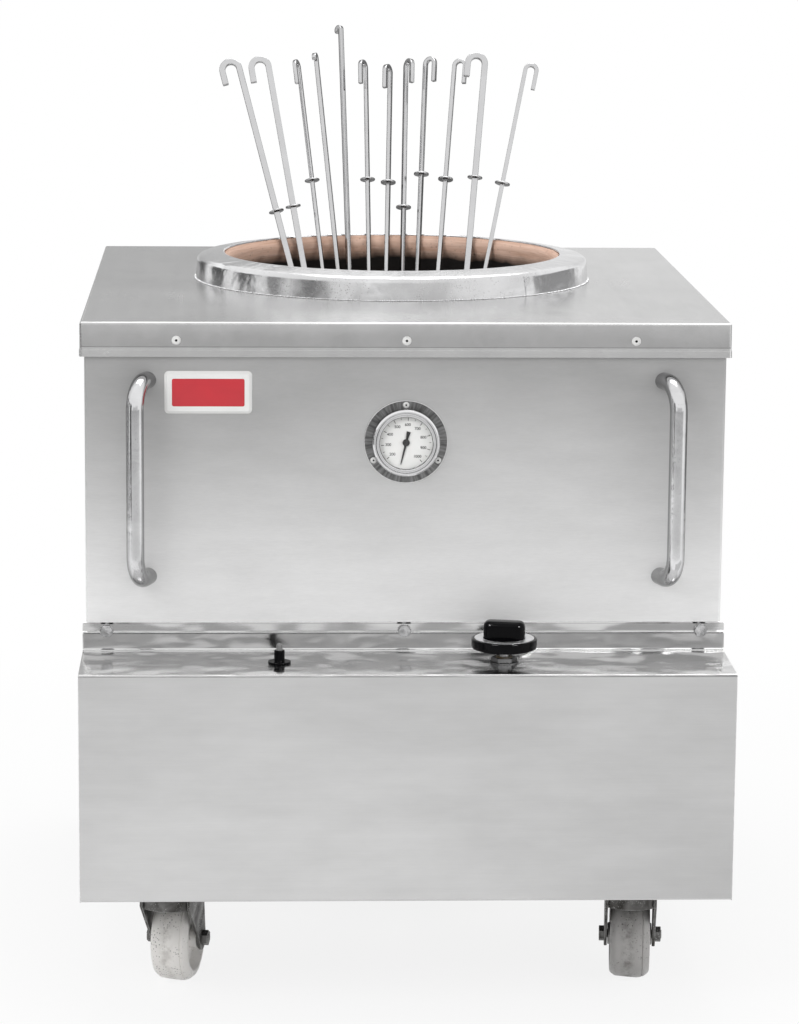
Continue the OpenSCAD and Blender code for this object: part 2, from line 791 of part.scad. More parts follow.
module handle(side) {
    bend = handle_bend;
    half = handle_span / 2;
    tube = handle_d / 2;
    color("lightgray") translate([side * handle_x, front_y, handle_z])
        rotate([0, 0, side * handle_lean]) difference() {
            union() {
                translate([0, -handle_reach, -half + bend])
                    cylinder(r = tube, h = handle_span - 2 * bend);
                for (e = [-1, 1]) {
                    // Leg from the panel to the bend; it runs on until the panel cuts it
                    translate([0, -handle_reach + bend, e * half])
                        rotate([-90, 0, 0]) cylinder(r = tube, h = handle_reach);
                    translate([0, -handle_reach + bend, e * (half - bend)])
                        mirror([0, 0, e > 0 ? 0 : 1]) rotate([0, -90, 0])
                            rotate([0, 0, -90]) rotate_extrude(angle = 90)
                                translate([bend, 0]) circle(tube);
                }
            }
            // The panel's plane trims both legs
            rotate([0, 0, -side * handle_lean])
                translate([-2 * handle_reach, 0, -handle_span])
                    cube([4 * handle_reach, 2 * handle_reach, 2 * handle_span]);
            // Threaded holes for the screws
            for (e = [-1, 1]) rotate([0, 0, -side * handle_lean])
                translate([0, 1, e * half]) rotate([90, 0, 0]) cylinder(r = screw_r, h = 13);
        }
}

module left_handle() { handle(-1); }
module right_handle() { handle(1); }

module handle_screws() {
    color("gray") for (s = [-1, 1], e = [-1, 1])
        translate([s * handle_x, front_y + sheet, handle_z + e * handle_span / 2])
            rotate([90, 0, 0]) {
                translate([0, 0, -1]) cylinder(r = 9, h = 1);
                translate([0, 0, -1]) hex_bolt(12, 5, screw_r - 0.2, 12);
            }
}

module badge_plate() {
    field_w = badge_w - 2 * badge_border;
    field_h = badge_h - 2 * badge_border;
    bevel = 2.5;
    color("white") translate([-badge_x, front_y, badge_z]) rotate([90, 0, 0]) difference() {
        union() {
            linear_extrude(badge_t - 1.5) round_rect(badge_w, badge_h, 7);
            linear_extrude(badge_t) round_rect(badge_w - 2 * bevel, badge_h - 2 * bevel, 5);
        }
        // The blank field lies a little below the border
        translate([0, 0, badge_t - 0.8]) linear_extrude(2) round_rect(field_w, field_h, 1.5);
    }
}

// ---- Thermometer --------------------------------------------------------------

module gauge_screw_places() {
    for (a = [90, 210, 330]) on_panel(
        gauge_screw_r * cos(a), gauge_z + gauge_screw_r * sin(a), front_y - 1.2) children();
}

module thermometer_case() {
    ring_h = gauge_proj;
    color("lightgray") difference() {
        translate([0, front_y, gauge_z]) rotate([90, 0, 0]) rotate_extrude($fn = 96) union() {
            // Flange, rolled bezel and the can behind the panel
            square([gauge_flange_r - 1, 1.2]);
            translate([gauge_flange_r - 1, 0.6]) circle(0.6, $fn = 24);
            polygon([
                [0, 0], [gauge_bezel_r - 1, 0], [gauge_bezel_r, 3], [gauge_bezel_r, ring_h - 4],
                [gauge_bezel_r - 3, ring_h - 1], [gauge_bezel_r - 5, ring_h],
                [gauge_face_r + 1, ring_h - 3], [0, ring_h - 3]
            ]);
            translate([0, -gauge_back]) square([gauge_can_r, gauge_back]);
        }
        // Well for the dial, the pointer and the lens
        translate([0, dial_y, gauge_z]) rotate([90, 0, 0])
            cylinder(r = gauge_face_r, h = gauge_proj, $fn = 96);
        translate([0, dial_y + 2, gauge_z]) rotate([90, 0, 0])
            cylinder(r = gauge_face_r + 1, h = 2.2, $fn = 96);
        on_panel(0, gauge_z) cylinder(r = probe_r, h = gauge_back + 2);
        gauge_screw_places() translate([0, 0, -3]) cylinder(r = 1.6 + fit, h = 8);
    }
}

module thermometer_dial() {
    color("white") translate([0, dial_y + 1.6, gauge_z]) rotate([90, 0, 0]) difference() {
        cylinder(r = gauge_face_r + 0.7, h = 1.2, $fn = 96);
        translate([0, 0, -1]) cylinder(r = 1.2 + running, h = 4);
    }
}

module thermometer_pointer() {
    color("black") translate([0, dial_y + 0.4 - touch, gauge_z]) rotate([90, 0, 0])
        rotate(-pointer_rest) {
            linear_extrude(1) {
                polygon([[-1.6, 4], [1.6, 4], [0.4, 30], [-0.4, 30]]);
                polygon([[-1.4, -4], [1.4, -4], [2.8, -15], [-2.8, -15]]);
            }
            cylinder(r = 4.8, h = 1.4);
            translate([0, 0, -1.7]) cylinder(r = 1.2, h = 2);
        }
}

module thermometer_lens() {
    color("aliceblue", 0.3) translate([0, front_y - gauge_proj + 3.6, gauge_z])
        rotate([90, 0, 0]) cylinder(r = gauge_face_r - 0.05, h = 1.8, $fn = 96);
}

module thermometer_probe() {
    tip_y = pot_y - pot_inner(0.72) - clay_t / 2;
    color("silver") {
        translate([0, front_y + 1, gauge_z]) rotate([-90, 0, 0])
            cylinder(r = probe_r - 0.05, h = tip_y - front_y - 1 - probe_r);
        translate([0, tip_y - probe_r, gauge_z]) sphere(probe_r - 0.05);
        // Hex at the back of the case
        translate([0, front_y + gauge_back, gauge_z]) rotate([-90, 0, 0])
            cylinder(r = 10, h = 8, $fn = 6);
    }
}

module thermometer_screws() {
    color("whitesmoke") gauge_screw_places() dome_screw(3.4, 1.6, 1.6, 10);
}

// ---- Burner and gas -----------------------------------------------------------

module burner() {
    ring_w = 34;
    color("darkslategray") difference() {
        union() {
            translate([0, pot_y, burner_top - burner_h]) difference() {
                cylinder(r = burner_r, h = burner_h, $fn = 96);
                translate([0, 0, -1]) cylinder(r = burner_r - ring_w, h = burner_h + 2, $fn = 96);
            }
            // Feet on the two rails
            for (s = [-1, 1], e = [-1, 1])
                translate([s * rail_gap / 2, pot_y + e * 62, rail_z + 5])
                    cylinder(r = 9, h = burner_top - burner_h - rail_z - 5 + 1);
            // Mixing tube with its bell mouth
            translate([0, mixer_end, burner_top - burner_h / 2]) rotate([-90, 0, 0]) {
                cylinder(r = tube_r - 6, h = pot_y - burner_r + 10 - mixer_end);
                cylinder(r = tube_r, h = 20);
                translate([0, 0, 20]) cylinder(r1 = tube_r, r2 = tube_r - 6, h = 25);
            }
        }
        // Bell mouth and bore of the mixing tube
        translate([0, mixer_end - 1, burner_top - burner_h / 2]) rotate([-90, 0, 0]) {
            cylinder(r = tube_r - 4, h = 22);
            cylinder(r = tube_r - 10, h = pot_y - burner_r - mixer_end);
        }
        // Ring of ports
        for (a = [0:15:345]) translate([0, pot_y, 0]) rotate(a)
            translate([burner_r - ring_w / 2, 0, burner_top - 8])
                cylinder(r = 2.5, h = 10, $fn = 16);
    }
}

module gas_valve() {
    color("goldenrod") difference() {
        translate([knob_x, ledge_y, 0]) {
            translate([0, 0, valve_top - valve_drop]) cylinder(r = valve_r, h = valve_drop);
            // Threaded neck that comes up through the ledge
            translate([0, 0, valve_top - 1]) cylinder(r = 11, h = ledge_z + 9 - valve_top);
            // Side port for the supply pipe
            translate([0, 0, valve_top - 45]) rotate([0, 90, 0]) cylinder(r = 14, h = valve_r + 14);
        }
        translate([knob_x, ledge_y, valve_top - 30]) cylinder(r = spindle_r + running, h = valve_drop);
        translate([knob_x + valve_r + 2, ledge_y, valve_top - 45]) rotate([0, 90, 0])
            cylinder(r = pipe_r + 0.1, h = 20);
        translate([knob_x, ledge_y, valve_top - valve_drop - 1])
            cylinder(r = pipe_r + 0.1, h = 15);
    }
}

module valve_nut() {
    color("silver") translate([knob_x, ledge_y, ledge_z]) difference() {
        union() {
            cylinder(r = 19, h = 1.5);
            translate([0, 0, 1.5]) cylinder(r = 15 / cos(30), h = 6, $fn = 6);
        }
        translate([0, 0, -1]) cylinder(r = 11.05, h = 12);
    }
}

module valve_spindle() {
    color("goldenrod") translate([knob_x, ledge_y, valve_top - 29])
        cylinder(r = spindle_r, h = bore_top - 5 - valve_top + 29);
}

// The grip bar seen from above: straight sides and round ends
module control_knob() {
    rim = 3;
    color("black") translate([knob_x, ledge_y, knob_z]) rotate(grip_turn) difference() {
        union() {
            rotate_extrude($fn = 96) polygon([
                [0, 0], [knob_r - rim, 0], [knob_r - rim / 3, rim / 3], [knob_r, rim],
                [knob_r, knob_skirt_h - rim], [knob_r - rim / 3, knob_skirt_h - rim / 3],
                [knob_r - rim, knob_skirt_h], [0, knob_skirt_h]
            ]);
            // Grip bar with a rounded top
            translate([0, 0, knob_skirt_h]) intersection() {
                cylinder(r = grip_l / 2, h = grip_h + 1);
                rotate([90, 0, 90]) linear_extrude(grip_l + 2, center = true)
                    round_top(grip_w, grip_h, 6);
                rotate([90, 0, 0]) linear_extrude(grip_w + 2, center = true)
                    round_top(grip_l - 1, grip_h, 5);
            }
        }
        // Blind bore for the spindle
        translate([0, 0, -1]) cylinder(r = spindle_r + 0.02, h = knob_skirt_h - 4);
        // Hollow under the skirt
        translate([0, 0, -1]) difference() {
            cylinder(r = knob_r - 5, h = 8);
            cylinder(r = spindle_r + 6, h = 9);
        }
        // Groove that seats the bright ring
        translate([0, 0, knob_skirt_h - 1]) difference() {
            cylinder(r = ring_r, h = 2, $fn = 96);
            cylinder(r = ring_r - ring_w, h = 2, $fn = 96);
        }
    }
}

module knob_ring() {
    color("silver") translate([knob_x, ledge_y, knob_z + knob_skirt_h - 0.95]) difference() {
        cylinder(r = ring_r - 0.05, h = 1.4, $fn = 96);
        translate([0, 0, -1]) cylinder(r = ring_r - ring_w + 0.05, h = 4, $fn = 96);
    }
}

module supply_pipe() {
    port_z = valve_top - 45;
    run_y = ledge_y;
    color("goldenrod") tube_run([
        [inlet_x, rear_y - 40, pipe_z],
        [inlet_x, run_y, pipe_z],
        [inlet_x, run_y, port_z],
        [knob_x + valve_r + 4, run_y, port_z]
    ], pipe_r, pipe_bend);
}

module burner_pipe() {
    port_z = burner_top - burner_h / 2;
    color("goldenrod") tube_run([
        [knob_x, ledge_y, valve_top - valve_drop + 12],
        [knob_x, ledge_y, port_z],
        [0, ledge_y, port_z],
        [0, mixer_end - 8, port_z]
    ], pipe_r, pipe_bend);
    // Injector in the bell mouth
    color("gold") translate([0, mixer_end - 8, port_z]) rotate([-90, 0, 0]) {
        cylinder(r = pipe_r + 2, h = 10, $fn = 6);
        cylinder(r = 6, h = 18);
    }
}

module gas_inlet() {
    color("goldenrod") translate([inlet_x, rear_y, pipe_z]) rotate([90, 0, 0]) difference() {
        union() {
            translate([0, 0, -inlet_out]) cylinder(r = inlet_r, h = inlet_out + 38);
            // Hex against the wall and its lock nut inside
            translate([0, 0, -8]) cylinder(r = inlet_r + 6, h = 8, $fn = 6);
            translate([0, 0, sheet]) cylinder(r = inlet_r + 6, h = 6, $fn = 6);
            translate([0, 0, 34]) cylinder(r = inlet_r + 4, h = 16, $fn = 6);
        }
        translate([0, 0, -inlet_out - 1]) cylinder(r = inlet_r - 3, h = inlet_out + 36);
        translate([0, 0, 40]) cylinder(r = pipe_r + 0.1, h = 20);
    }
}

module pilot() {
    x = 40;
    y = pot_y - burner_r - 16;
    color("silver") {
        // Bracket from the rail up to the hood, and the hood beside the burner
        translate([rail_gap / 2 - 8, y - 8, rail_z + 5]) cube([16, 2, burner_top - rail_z - 12]);
        translate([x, y - 8, burner_top - 12]) cube([rail_gap / 2 - x + 8, 16, 2]);
        translate([x + 8, y, burner_top - 12]) cylinder(r = 5, h = 16);
        translate([x + 22, y, burner_top - 40]) cylinder(r = 3, h = 44);
    }
}

module igniter_body() {
    color([0.12, 0.12, 0.12]) translate([-igniter_x, ledge_y, ledge_z]) difference() {
        union() {
            cylinder(r = igniter_collar_r, h = 2);
            cylinder(r = 7, h = 17);
            translate([0, 0, -48]) cylinder(r = igniter_r, h = 48);
            // Nut under the ledge
            translate([0, 0, -sheet - 6]) cylinder(r = igniter_r + 4, h = 6, $fn = 6);
        }
        translate([0, 0, -20]) cylinder(r = button_r + touch, h = 40);
    }
}

module igniter_button() {
    color("darkgray") translate([-igniter_x, ledge_y, ledge_z + 17]) {
        translate([0, 0, -12]) cylinder(r = button_r, h = 12 + button_h - 1);
        translate([0, 0, button_h - 1]) cylinder(r1 = button_r, r2 = button_r - 1, h = 1);
    }
}

// ---- Casters ------------------------------------------------------------------

module at_king(k) {
    translate([king_pos[k][0], king_pos[k][1], 0]) rotate(king_turn[k]) children();
}

module caster_bolt_places() {
    for (k = king_pos, s = [-1, 1], e = [-1, 1])
        translate([k[0] + s * plate_bolt_x, k[1] + e * plate_bolt_y, ground_gap]) children();
}

module caster_plates() {
    cup_drop = 16;
    color("darkgray") difference() {
        for (k = king_pos) translate([k[0], k[1], 0]) {
            translate([0, 0, plate_z]) linear_extrude(plate_t) round_rect(plate_w, plate_d, 8);
            // Cup over the fork's race
            translate([0, 0, plate_z - cup_drop]) difference() {
                cylinder(r = race_r + 5, h = cup_drop + 1);
                translate([0, 0, -1]) cylinder(r = race_r + 1, h = cup_drop + 1);
            }
            // Kingpin, riveted into the plate, with its head under the fork's crown
            translate([0, 0, crown_z - 5 - touch]) cylinder(r = king_r, h = plate_z - crown_z + 7);
            translate([0, 0, crown_z - 5 - touch]) cylinder(r = king_r + 4, h = 5);
        }
        caster_bolt_places() translate([0, 0, -plate_t - 1]) cylinder(r = 5 + fit, h = plate_t + 2);
    }
}

module caster_bolts() {
    color("silver") caster_bolt_places() translate([0, 0, -plate_t]) {
        hex_bolt(15, 6, 5, plate_t + channel_t + 14);
        translate([0, 0, plate_t + channel_t]) cylinder(r = 8.6, h = 8, $fn = 6);
    }
}

// Side view of a fork's leg: from the crown down and back to the axle
module leg_outline() {
    polygon([
        [-crown_l / 2 + 10, crown_z + fork_t], [crown_l / 2 - 4, crown_z + fork_t],
        [crown_l / 2 - 2, crown_z - 10], [trail + boss_r, wheel_r], [trail - boss_r, wheel_r],
        [-crown_l / 2 + 8, crown_z - 8]
    ]);
    translate([trail, wheel_r]) circle(boss_r);
}

module fork(k) {
    color("darkgray") at_king(k) difference() {
        union() {
            translate([0, 0, crown_z]) linear_extrude(fork_t) intersection() {
                square([2 * fork_half, crown_l], center = true);
                circle(crown_l / 2, $fn = 96);
            }
            // Pressed-down lip round the crown's nose
            translate([0, 0, crown_z - lip_drop]) linear_extrude(lip_drop + 1) intersection() {
                difference() {
                    circle(crown_l / 2, $fn = 96);
                    circle(crown_l / 2 - fork_t, $fn = 96);
                }
                translate([-fork_half, -crown_l / 2]) square([2 * fork_half, 18]);
            }
            for (s = [-1, 1]) translate([s * (fork_half - fork_t / 2), 0, 0])
                rotate([90, 0, 90]) linear_extrude(fork_t, center = true) leg_outline();
            // Race that runs in the plate's cup
            translate([0, 0, crown_z + fork_t - 1])
                cylinder(r = race_r, h = plate_z - touch - crown_z - fork_t + 1);
        }
        translate([0, 0, crown_z - 1]) cylinder(r = king_r + running, h = plate_z);
        translate([0, trail, wheel_r]) rotate([0, 90, 0])
            cylinder(r = axle_r + 0.02, h = 4 * fork_half, center = true);
    }
}

module axle(k) {
    over = 9;
    color("silver") at_king(k) translate([0, trail, wheel_r]) rotate([0, 90, 0]) {
        translate([0, 0, -fork_half]) hex_bolt(19, 7, axle_r, 2 * fork_half + over);
        // Nut
        difference() {
            translate([0, 0, fork_half]) cylinder(r = 9.5 / cos(30), h = 8, $fn = 6);
            cylinder(r = axle_r, h = 4 * fork_half);
        }
    }
}

module wheel(k) {
    hub_half = fork_half - fork_t - touch;
    half = wheel_w / 2;
    color("lightgray") at_king(k) translate([0, trail, wheel_r]) rotate([0, 90, 0])
        rotate_extrude($fn = 96) polygon([
            [axle_r + running, -hub_half], [axle_r + 10, -hub_half], [axle_r + 10, -12],
            [wheel_r - 20, -12], [wheel_r - 17, -half], [wheel_r - 9, -half],
            [wheel_r - 4, -half + 2], [wheel_r - 1, -half + 7], [wheel_r, -half + 12],
            [wheel_r, half - 12], [wheel_r - 1, half - 7], [wheel_r - 4, half - 2],
            [wheel_r - 9, half], [wheel_r - 17, half],
            [wheel_r - 20, 12], [axle_r + 10, 12], [axle_r + 10, hub_half],
            [axle_r + running, hub_half]
        ]);
}

// ---- Skewers ------------------------------------------------------------------

// Where skewer i touches the neck, and where its point stands
function lean_r(i) = neck_r - lean_gap - skewers[i][5] * 0.6;
function rim_point(i) = [
    -lean_r(i) * sin(skewers[i][0]), pot_y + lean_r(i) * cos(skewers[i][0]), neck_z
];
function foot_point(i) = [skewers[i][1], pot_y + skewers[i][2], spreader_top + touch];

module skewer(i) {
    row = skewers[i];
    bar = row[5];
    run = rim_point(i) - foot_point(i);
    way = atan2(run[1], run[0]);
    rim_at = norm(run);
    top = skewer_l + row[6];
    heavy = bar == heavy_bar;
    eye = row[3] == 0;
    bend_r = eye ? eye_r : heavy ? heavy_hook_r : hook_r;
    end_l = heavy ? heavy_hook_end : hook_end;
    bend_at = top - bend_r - bar / 2;
    point_l = 2.5 * bar;
    color("silver") translate(foot_point(i))
        rotate([0, acos(run[2] / norm(run)), way]) rotate(row[4] - way) {
            // Square bar with a four-sided point
            intersection() {
                linear_extrude(bend_at + fuse) square(bar, center = true);
                for_both_sides() linear_extrude(2 * bar, center = true) polygon([
                    [0, 0], [bar / 2, point_l], [bar / 2, bend_at + fuse],
                    [-bar / 2, bend_at + fuse], [-bar / 2, point_l]
                ]);
            }
            // Hook, or a curled eye that stops short of the bar
            translate([bend_r, 0, bend_at]) rotate([90, 0, 0])
                rotate(eye ? -eye_curl : 0) rotate_extrude(angle = 180 + (eye ? eye_curl : 0))
                    translate([bend_r, 0]) square(bar, center = true);
            if (!eye) translate([2 * bend_r, 0, bend_at - end_l])
                linear_extrude(end_l) square(bar, center = true);
            if (row[3] > 0) translate([0, 0, rim_at + row[3]]) cylinder(r = stop_r, h = 2.5);
        }
}

// Stands a profile drawn in x and y up along z, once seen from each side
module for_both_sides() {
    intersection() {
        rotate([90, 0, 0]) children();
        rotate([90, 0, 90]) children();
    }
}

// ---- Output -------------------------------------------------------------------

cabinet_shell();
front_panel();
lid();
mouth_collar();
lid_rivets();
clay_pot();
insulation();
pot_shelf();
base_frame();
control_box();
flange_bolts();
left_handle();
right_handle();
handle_screws();
badge_plate();
thermometer_case();
thermometer_dial();
thermometer_pointer();
thermometer_lens();
thermometer_probe();
thermometer_screws();
burner();
heat_spreader();
gas_valve();
valve_nut();
valve_spindle();
control_knob();
knob_ring();
supply_pipe();
burner_pipe();
gas_inlet();
pilot();
igniter_body();
igniter_button();
caster_plates();
caster_bolts();
fork(0);  // fork_front_left
fork(1);  // fork_front_right
fork(2);  // fork_rear_left
fork(3);  // fork_rear_right
axle(0);  // axle_front_left
axle(1);  // axle_front_right
axle(2);  // axle_rear_left
axle(3);  // axle_rear_right
wheel(0);  // wheel_front_left
wheel(1);  // wheel_front_right
wheel(2);  // wheel_rear_left
wheel(3);  // wheel_rear_right
skewer(0);  // skewer_1
skewer(1);  // skewer_2
skewer(2);  // skewer_3
skewer(3);  // skewer_4
skewer(4);  // skewer_5
skewer(5);  // skewer_6
skewer(6);  // skewer_7
skewer(7);  // skewer_8
skewer(8);  // skewer_9
skewer(9);  // skewer_10
skewer(10);  // skewer_11
skewer(11);  // skewer_12
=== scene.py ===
"""Dresses a gas-fired clay tandoor oven: steel cabinet, collared clay pot, skewers, casters.

Everything is in metres in the oven's own frame: +X to the right of someone facing the
front, +Y to the back, +Z up, the floor at z = 0.
"""

import json
import logging
import math
from dataclasses import dataclass
from enum import Enum
from typing import Callable, Sequence

import bmesh
import bpy
from mathutils import Matrix, Vector, noise

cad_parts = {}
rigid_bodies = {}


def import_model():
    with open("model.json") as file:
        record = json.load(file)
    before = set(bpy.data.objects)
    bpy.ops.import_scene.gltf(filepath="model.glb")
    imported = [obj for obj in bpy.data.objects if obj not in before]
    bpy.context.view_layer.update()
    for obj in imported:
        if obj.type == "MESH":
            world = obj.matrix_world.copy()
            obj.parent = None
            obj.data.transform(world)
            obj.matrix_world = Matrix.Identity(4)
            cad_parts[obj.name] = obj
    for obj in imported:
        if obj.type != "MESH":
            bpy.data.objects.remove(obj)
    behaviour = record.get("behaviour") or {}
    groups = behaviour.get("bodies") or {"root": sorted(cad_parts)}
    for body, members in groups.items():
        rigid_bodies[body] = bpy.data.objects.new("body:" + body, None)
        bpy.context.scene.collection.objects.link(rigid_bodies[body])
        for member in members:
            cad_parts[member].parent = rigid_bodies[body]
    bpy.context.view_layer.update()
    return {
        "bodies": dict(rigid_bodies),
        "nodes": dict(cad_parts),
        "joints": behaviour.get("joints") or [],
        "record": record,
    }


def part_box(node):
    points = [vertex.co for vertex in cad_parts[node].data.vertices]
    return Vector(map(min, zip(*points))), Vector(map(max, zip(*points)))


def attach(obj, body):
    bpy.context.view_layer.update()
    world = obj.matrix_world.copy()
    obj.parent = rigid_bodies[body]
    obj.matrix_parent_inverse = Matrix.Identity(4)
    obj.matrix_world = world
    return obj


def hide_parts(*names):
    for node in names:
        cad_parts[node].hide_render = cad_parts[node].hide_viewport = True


logging.basicConfig(level=logging.INFO, format="%(message)s")
LOG = logging.getLogger("oven")

MM = 0.001
Point = tuple[float, float, float]
Rgb = tuple[float, float, float]
Profile = list[tuple[float, float]]
Spots = list[tuple[Vector, Vector]]
Socket = bpy.types.NodeSocket
Node = bpy.types.Node
NodeTree = bpy.types.NodeTree
Material = bpy.types.Material
Piece = bpy.types.Object
BMesh = bmesh.types.BMesh


class Grain(Enum):
    """Direction in which a sheet was brushed, as how fast the streaks change along x, y, z."""

    UPRIGHT = (260.0, 260.0, 5.0)
    ACROSS = (5.0, 260.0, 260.0)
    DASHED = (34.0, 260.0, 260.0)
    FRONT_TO_BACK = (260.0, 5.0, 260.0)
    NONE = (60.0, 60.0, 60.0)


# ---- Node trees -------------------------------------------------------------------


class NodeSheet:
    """Places and links the nodes of one tree."""

    def __init__(self, tree: NodeTree) -> None:
        """Takes the tree to work on.

        Args:
            tree: A shader or geometry node tree.
        """
        self.tree = tree

    def add(self, kind: str, sockets: dict | None = None, **settings: object) -> Node:
        """Adds a node and fills or links its inputs.

        Args:
            kind: Blender's name for the node type.
            sockets: Input name or index to a value, or to the output socket to link.
            settings: Attributes of the node itself.

        Returns:
            The new node.
        """
        node = self.tree.nodes.new(kind)
        for key, value in settings.items():
            setattr(node, key, value)
        self.feed(node, sockets or {})
        return node

    def feed(self, node: Node, sockets: dict) -> None:
        """Fills or links inputs of a node.

        Args:
            node: The node.
            sockets: Input name or index to a value, or to the output socket to link.
        """
        for key, value in sockets.items():
            if isinstance(value, Socket):
                self.tree.links.new(value, node.inputs[key])
            else:
                node.inputs[key].default_value = value

    def place(self) -> Socket:
        """Returns the object coordinates."""
        return self.add("ShaderNodeTexCoord").outputs["Object"]

    def height(self, vector: Socket) -> Socket:
        """Returns the upward part of a vector."""
        return self.add("ShaderNodeSeparateXYZ", {0: vector}).outputs[2]

    def noise(self, vector: object, scale: object, detail: float = 2.0,
              **more: float) -> Socket:
        """Returns a noise between 0 and 1.

        Args:
            vector: Where the noise is read.
            scale: How fine it is.
            detail: How many finer layers it has.
            more: Further inputs by name.

        Returns:
            The noise's socket.
        """
        return self.add("ShaderNodeTexNoise", {
            "Vector": vector, "Scale": scale, "Detail": detail, **more}).outputs[0]

    def dots(self, vector: object, scale: object) -> Socket:
        """Returns the distance to the nearest of scattered points."""
        return self.add("ShaderNodeTexVoronoi", {
            "Vector": vector, "Scale": scale}).outputs["Distance"]

    def vector(self, operation: str, a: object, b: object = (0.0, 0.0, 0.0),
               out: str = "Vector") -> Socket:
        """Returns the output of a vector math node.

        Args:
            operation: The node's operation.
            a: First vector or socket.
            b: Second vector or socket.
            out: Name of the output that is read.

        Returns:
            The result's socket.
        """
        return self.add("ShaderNodeVectorMath", {0: a, 1: b}, operation=operation).outputs[out]

    def math(self, operation: str, a: object, b: object = 0.0) -> Socket:
        """Returns the output of a math node.

        Args:
            operation: The node's operation.
            a: First value or socket.
            b: Second value or socket.

        Returns:
            The result's socket.
        """
        return self.add("ShaderNodeMath", {0: a, 1: b}, operation=operation).outputs[0]

    def plus(self, a: object, b: object, share: object = 1.0) -> Socket:
        """Adds a share of a second value to a first.

        Args:
            a: First value or socket.
            b: Second value or socket.
            share: How much of the second is added.

        Returns:
            The result's socket.
        """
        return self.math("ADD", a, b if share == 1.0 else self.math("MULTIPLY", b, share))

    def grey(self, level: Socket) -> Socket:
        """Returns the grey of a level."""
        return self.add("ShaderNodeCombineColor", {0: level, 1: level, 2: level}).outputs[0]

    def seen(self) -> Socket:
        """Returns 1 for what the camera sees, in a mirror or through glass too, else 0."""
        path = self.add("ShaderNodeLightPath").outputs
        return self.math("MAXIMUM", path["Is Camera Ray"], self.math(
            "MAXIMUM", path["Is Glossy Ray"], path["Is Transmission Ray"]))

    def bump(self, height: object, depth: float, strength: float = 1.0,
             **more: Socket) -> Socket:
        """Returns the normal of a bump.

        Args:
            height: Height between 0 and 1.
            depth: Metres that a height of 1 stands for.
            strength: How much the bump counts.
            more: Normal that it is laid on.

        Returns:
            The normal's socket.
        """
        return self.add("ShaderNodeBump", {"Strength": strength, "Distance": depth,
                                           "Height": height, **more}).outputs[0]

    def span(self, value: object, low: float, high: float, to_low: float = 0.0,
             to_high: float = 1.0) -> Socket:
        """Maps a value from one span to another, held at the ends.

        Args:
            value: Value or socket to map.
            low: Start of the span that is read.
            high: End of the span that is read.
            to_low: Start of the span that is given.
            to_high: End of the span that is given.

        Returns:
            The result's socket.
        """
        return self.add("ShaderNodeMapRange", {
            "Value": value, "From Min": low, "From Max": high, "To Min": to_low,
            "To Max": to_high}).outputs[0]

    def blend(self, share: object, a: object, b: object) -> Socket:
        """Mixes two colours.

        Args:
            share: How much of the second colour shows.
            a: First colour or socket.
            b: Second colour or socket.

        Returns:
            The mixed colour's socket.
        """
        node = self.add("ShaderNodeMix", {0: share}, data_type="RGBA")
        for index, value in ((6, a), (7, b)):
            if isinstance(value, Socket):
                self.tree.links.new(value, node.inputs[index])
            else:
                node.inputs[index].default_value = (*value, 1.0)
        return node.outputs[2]


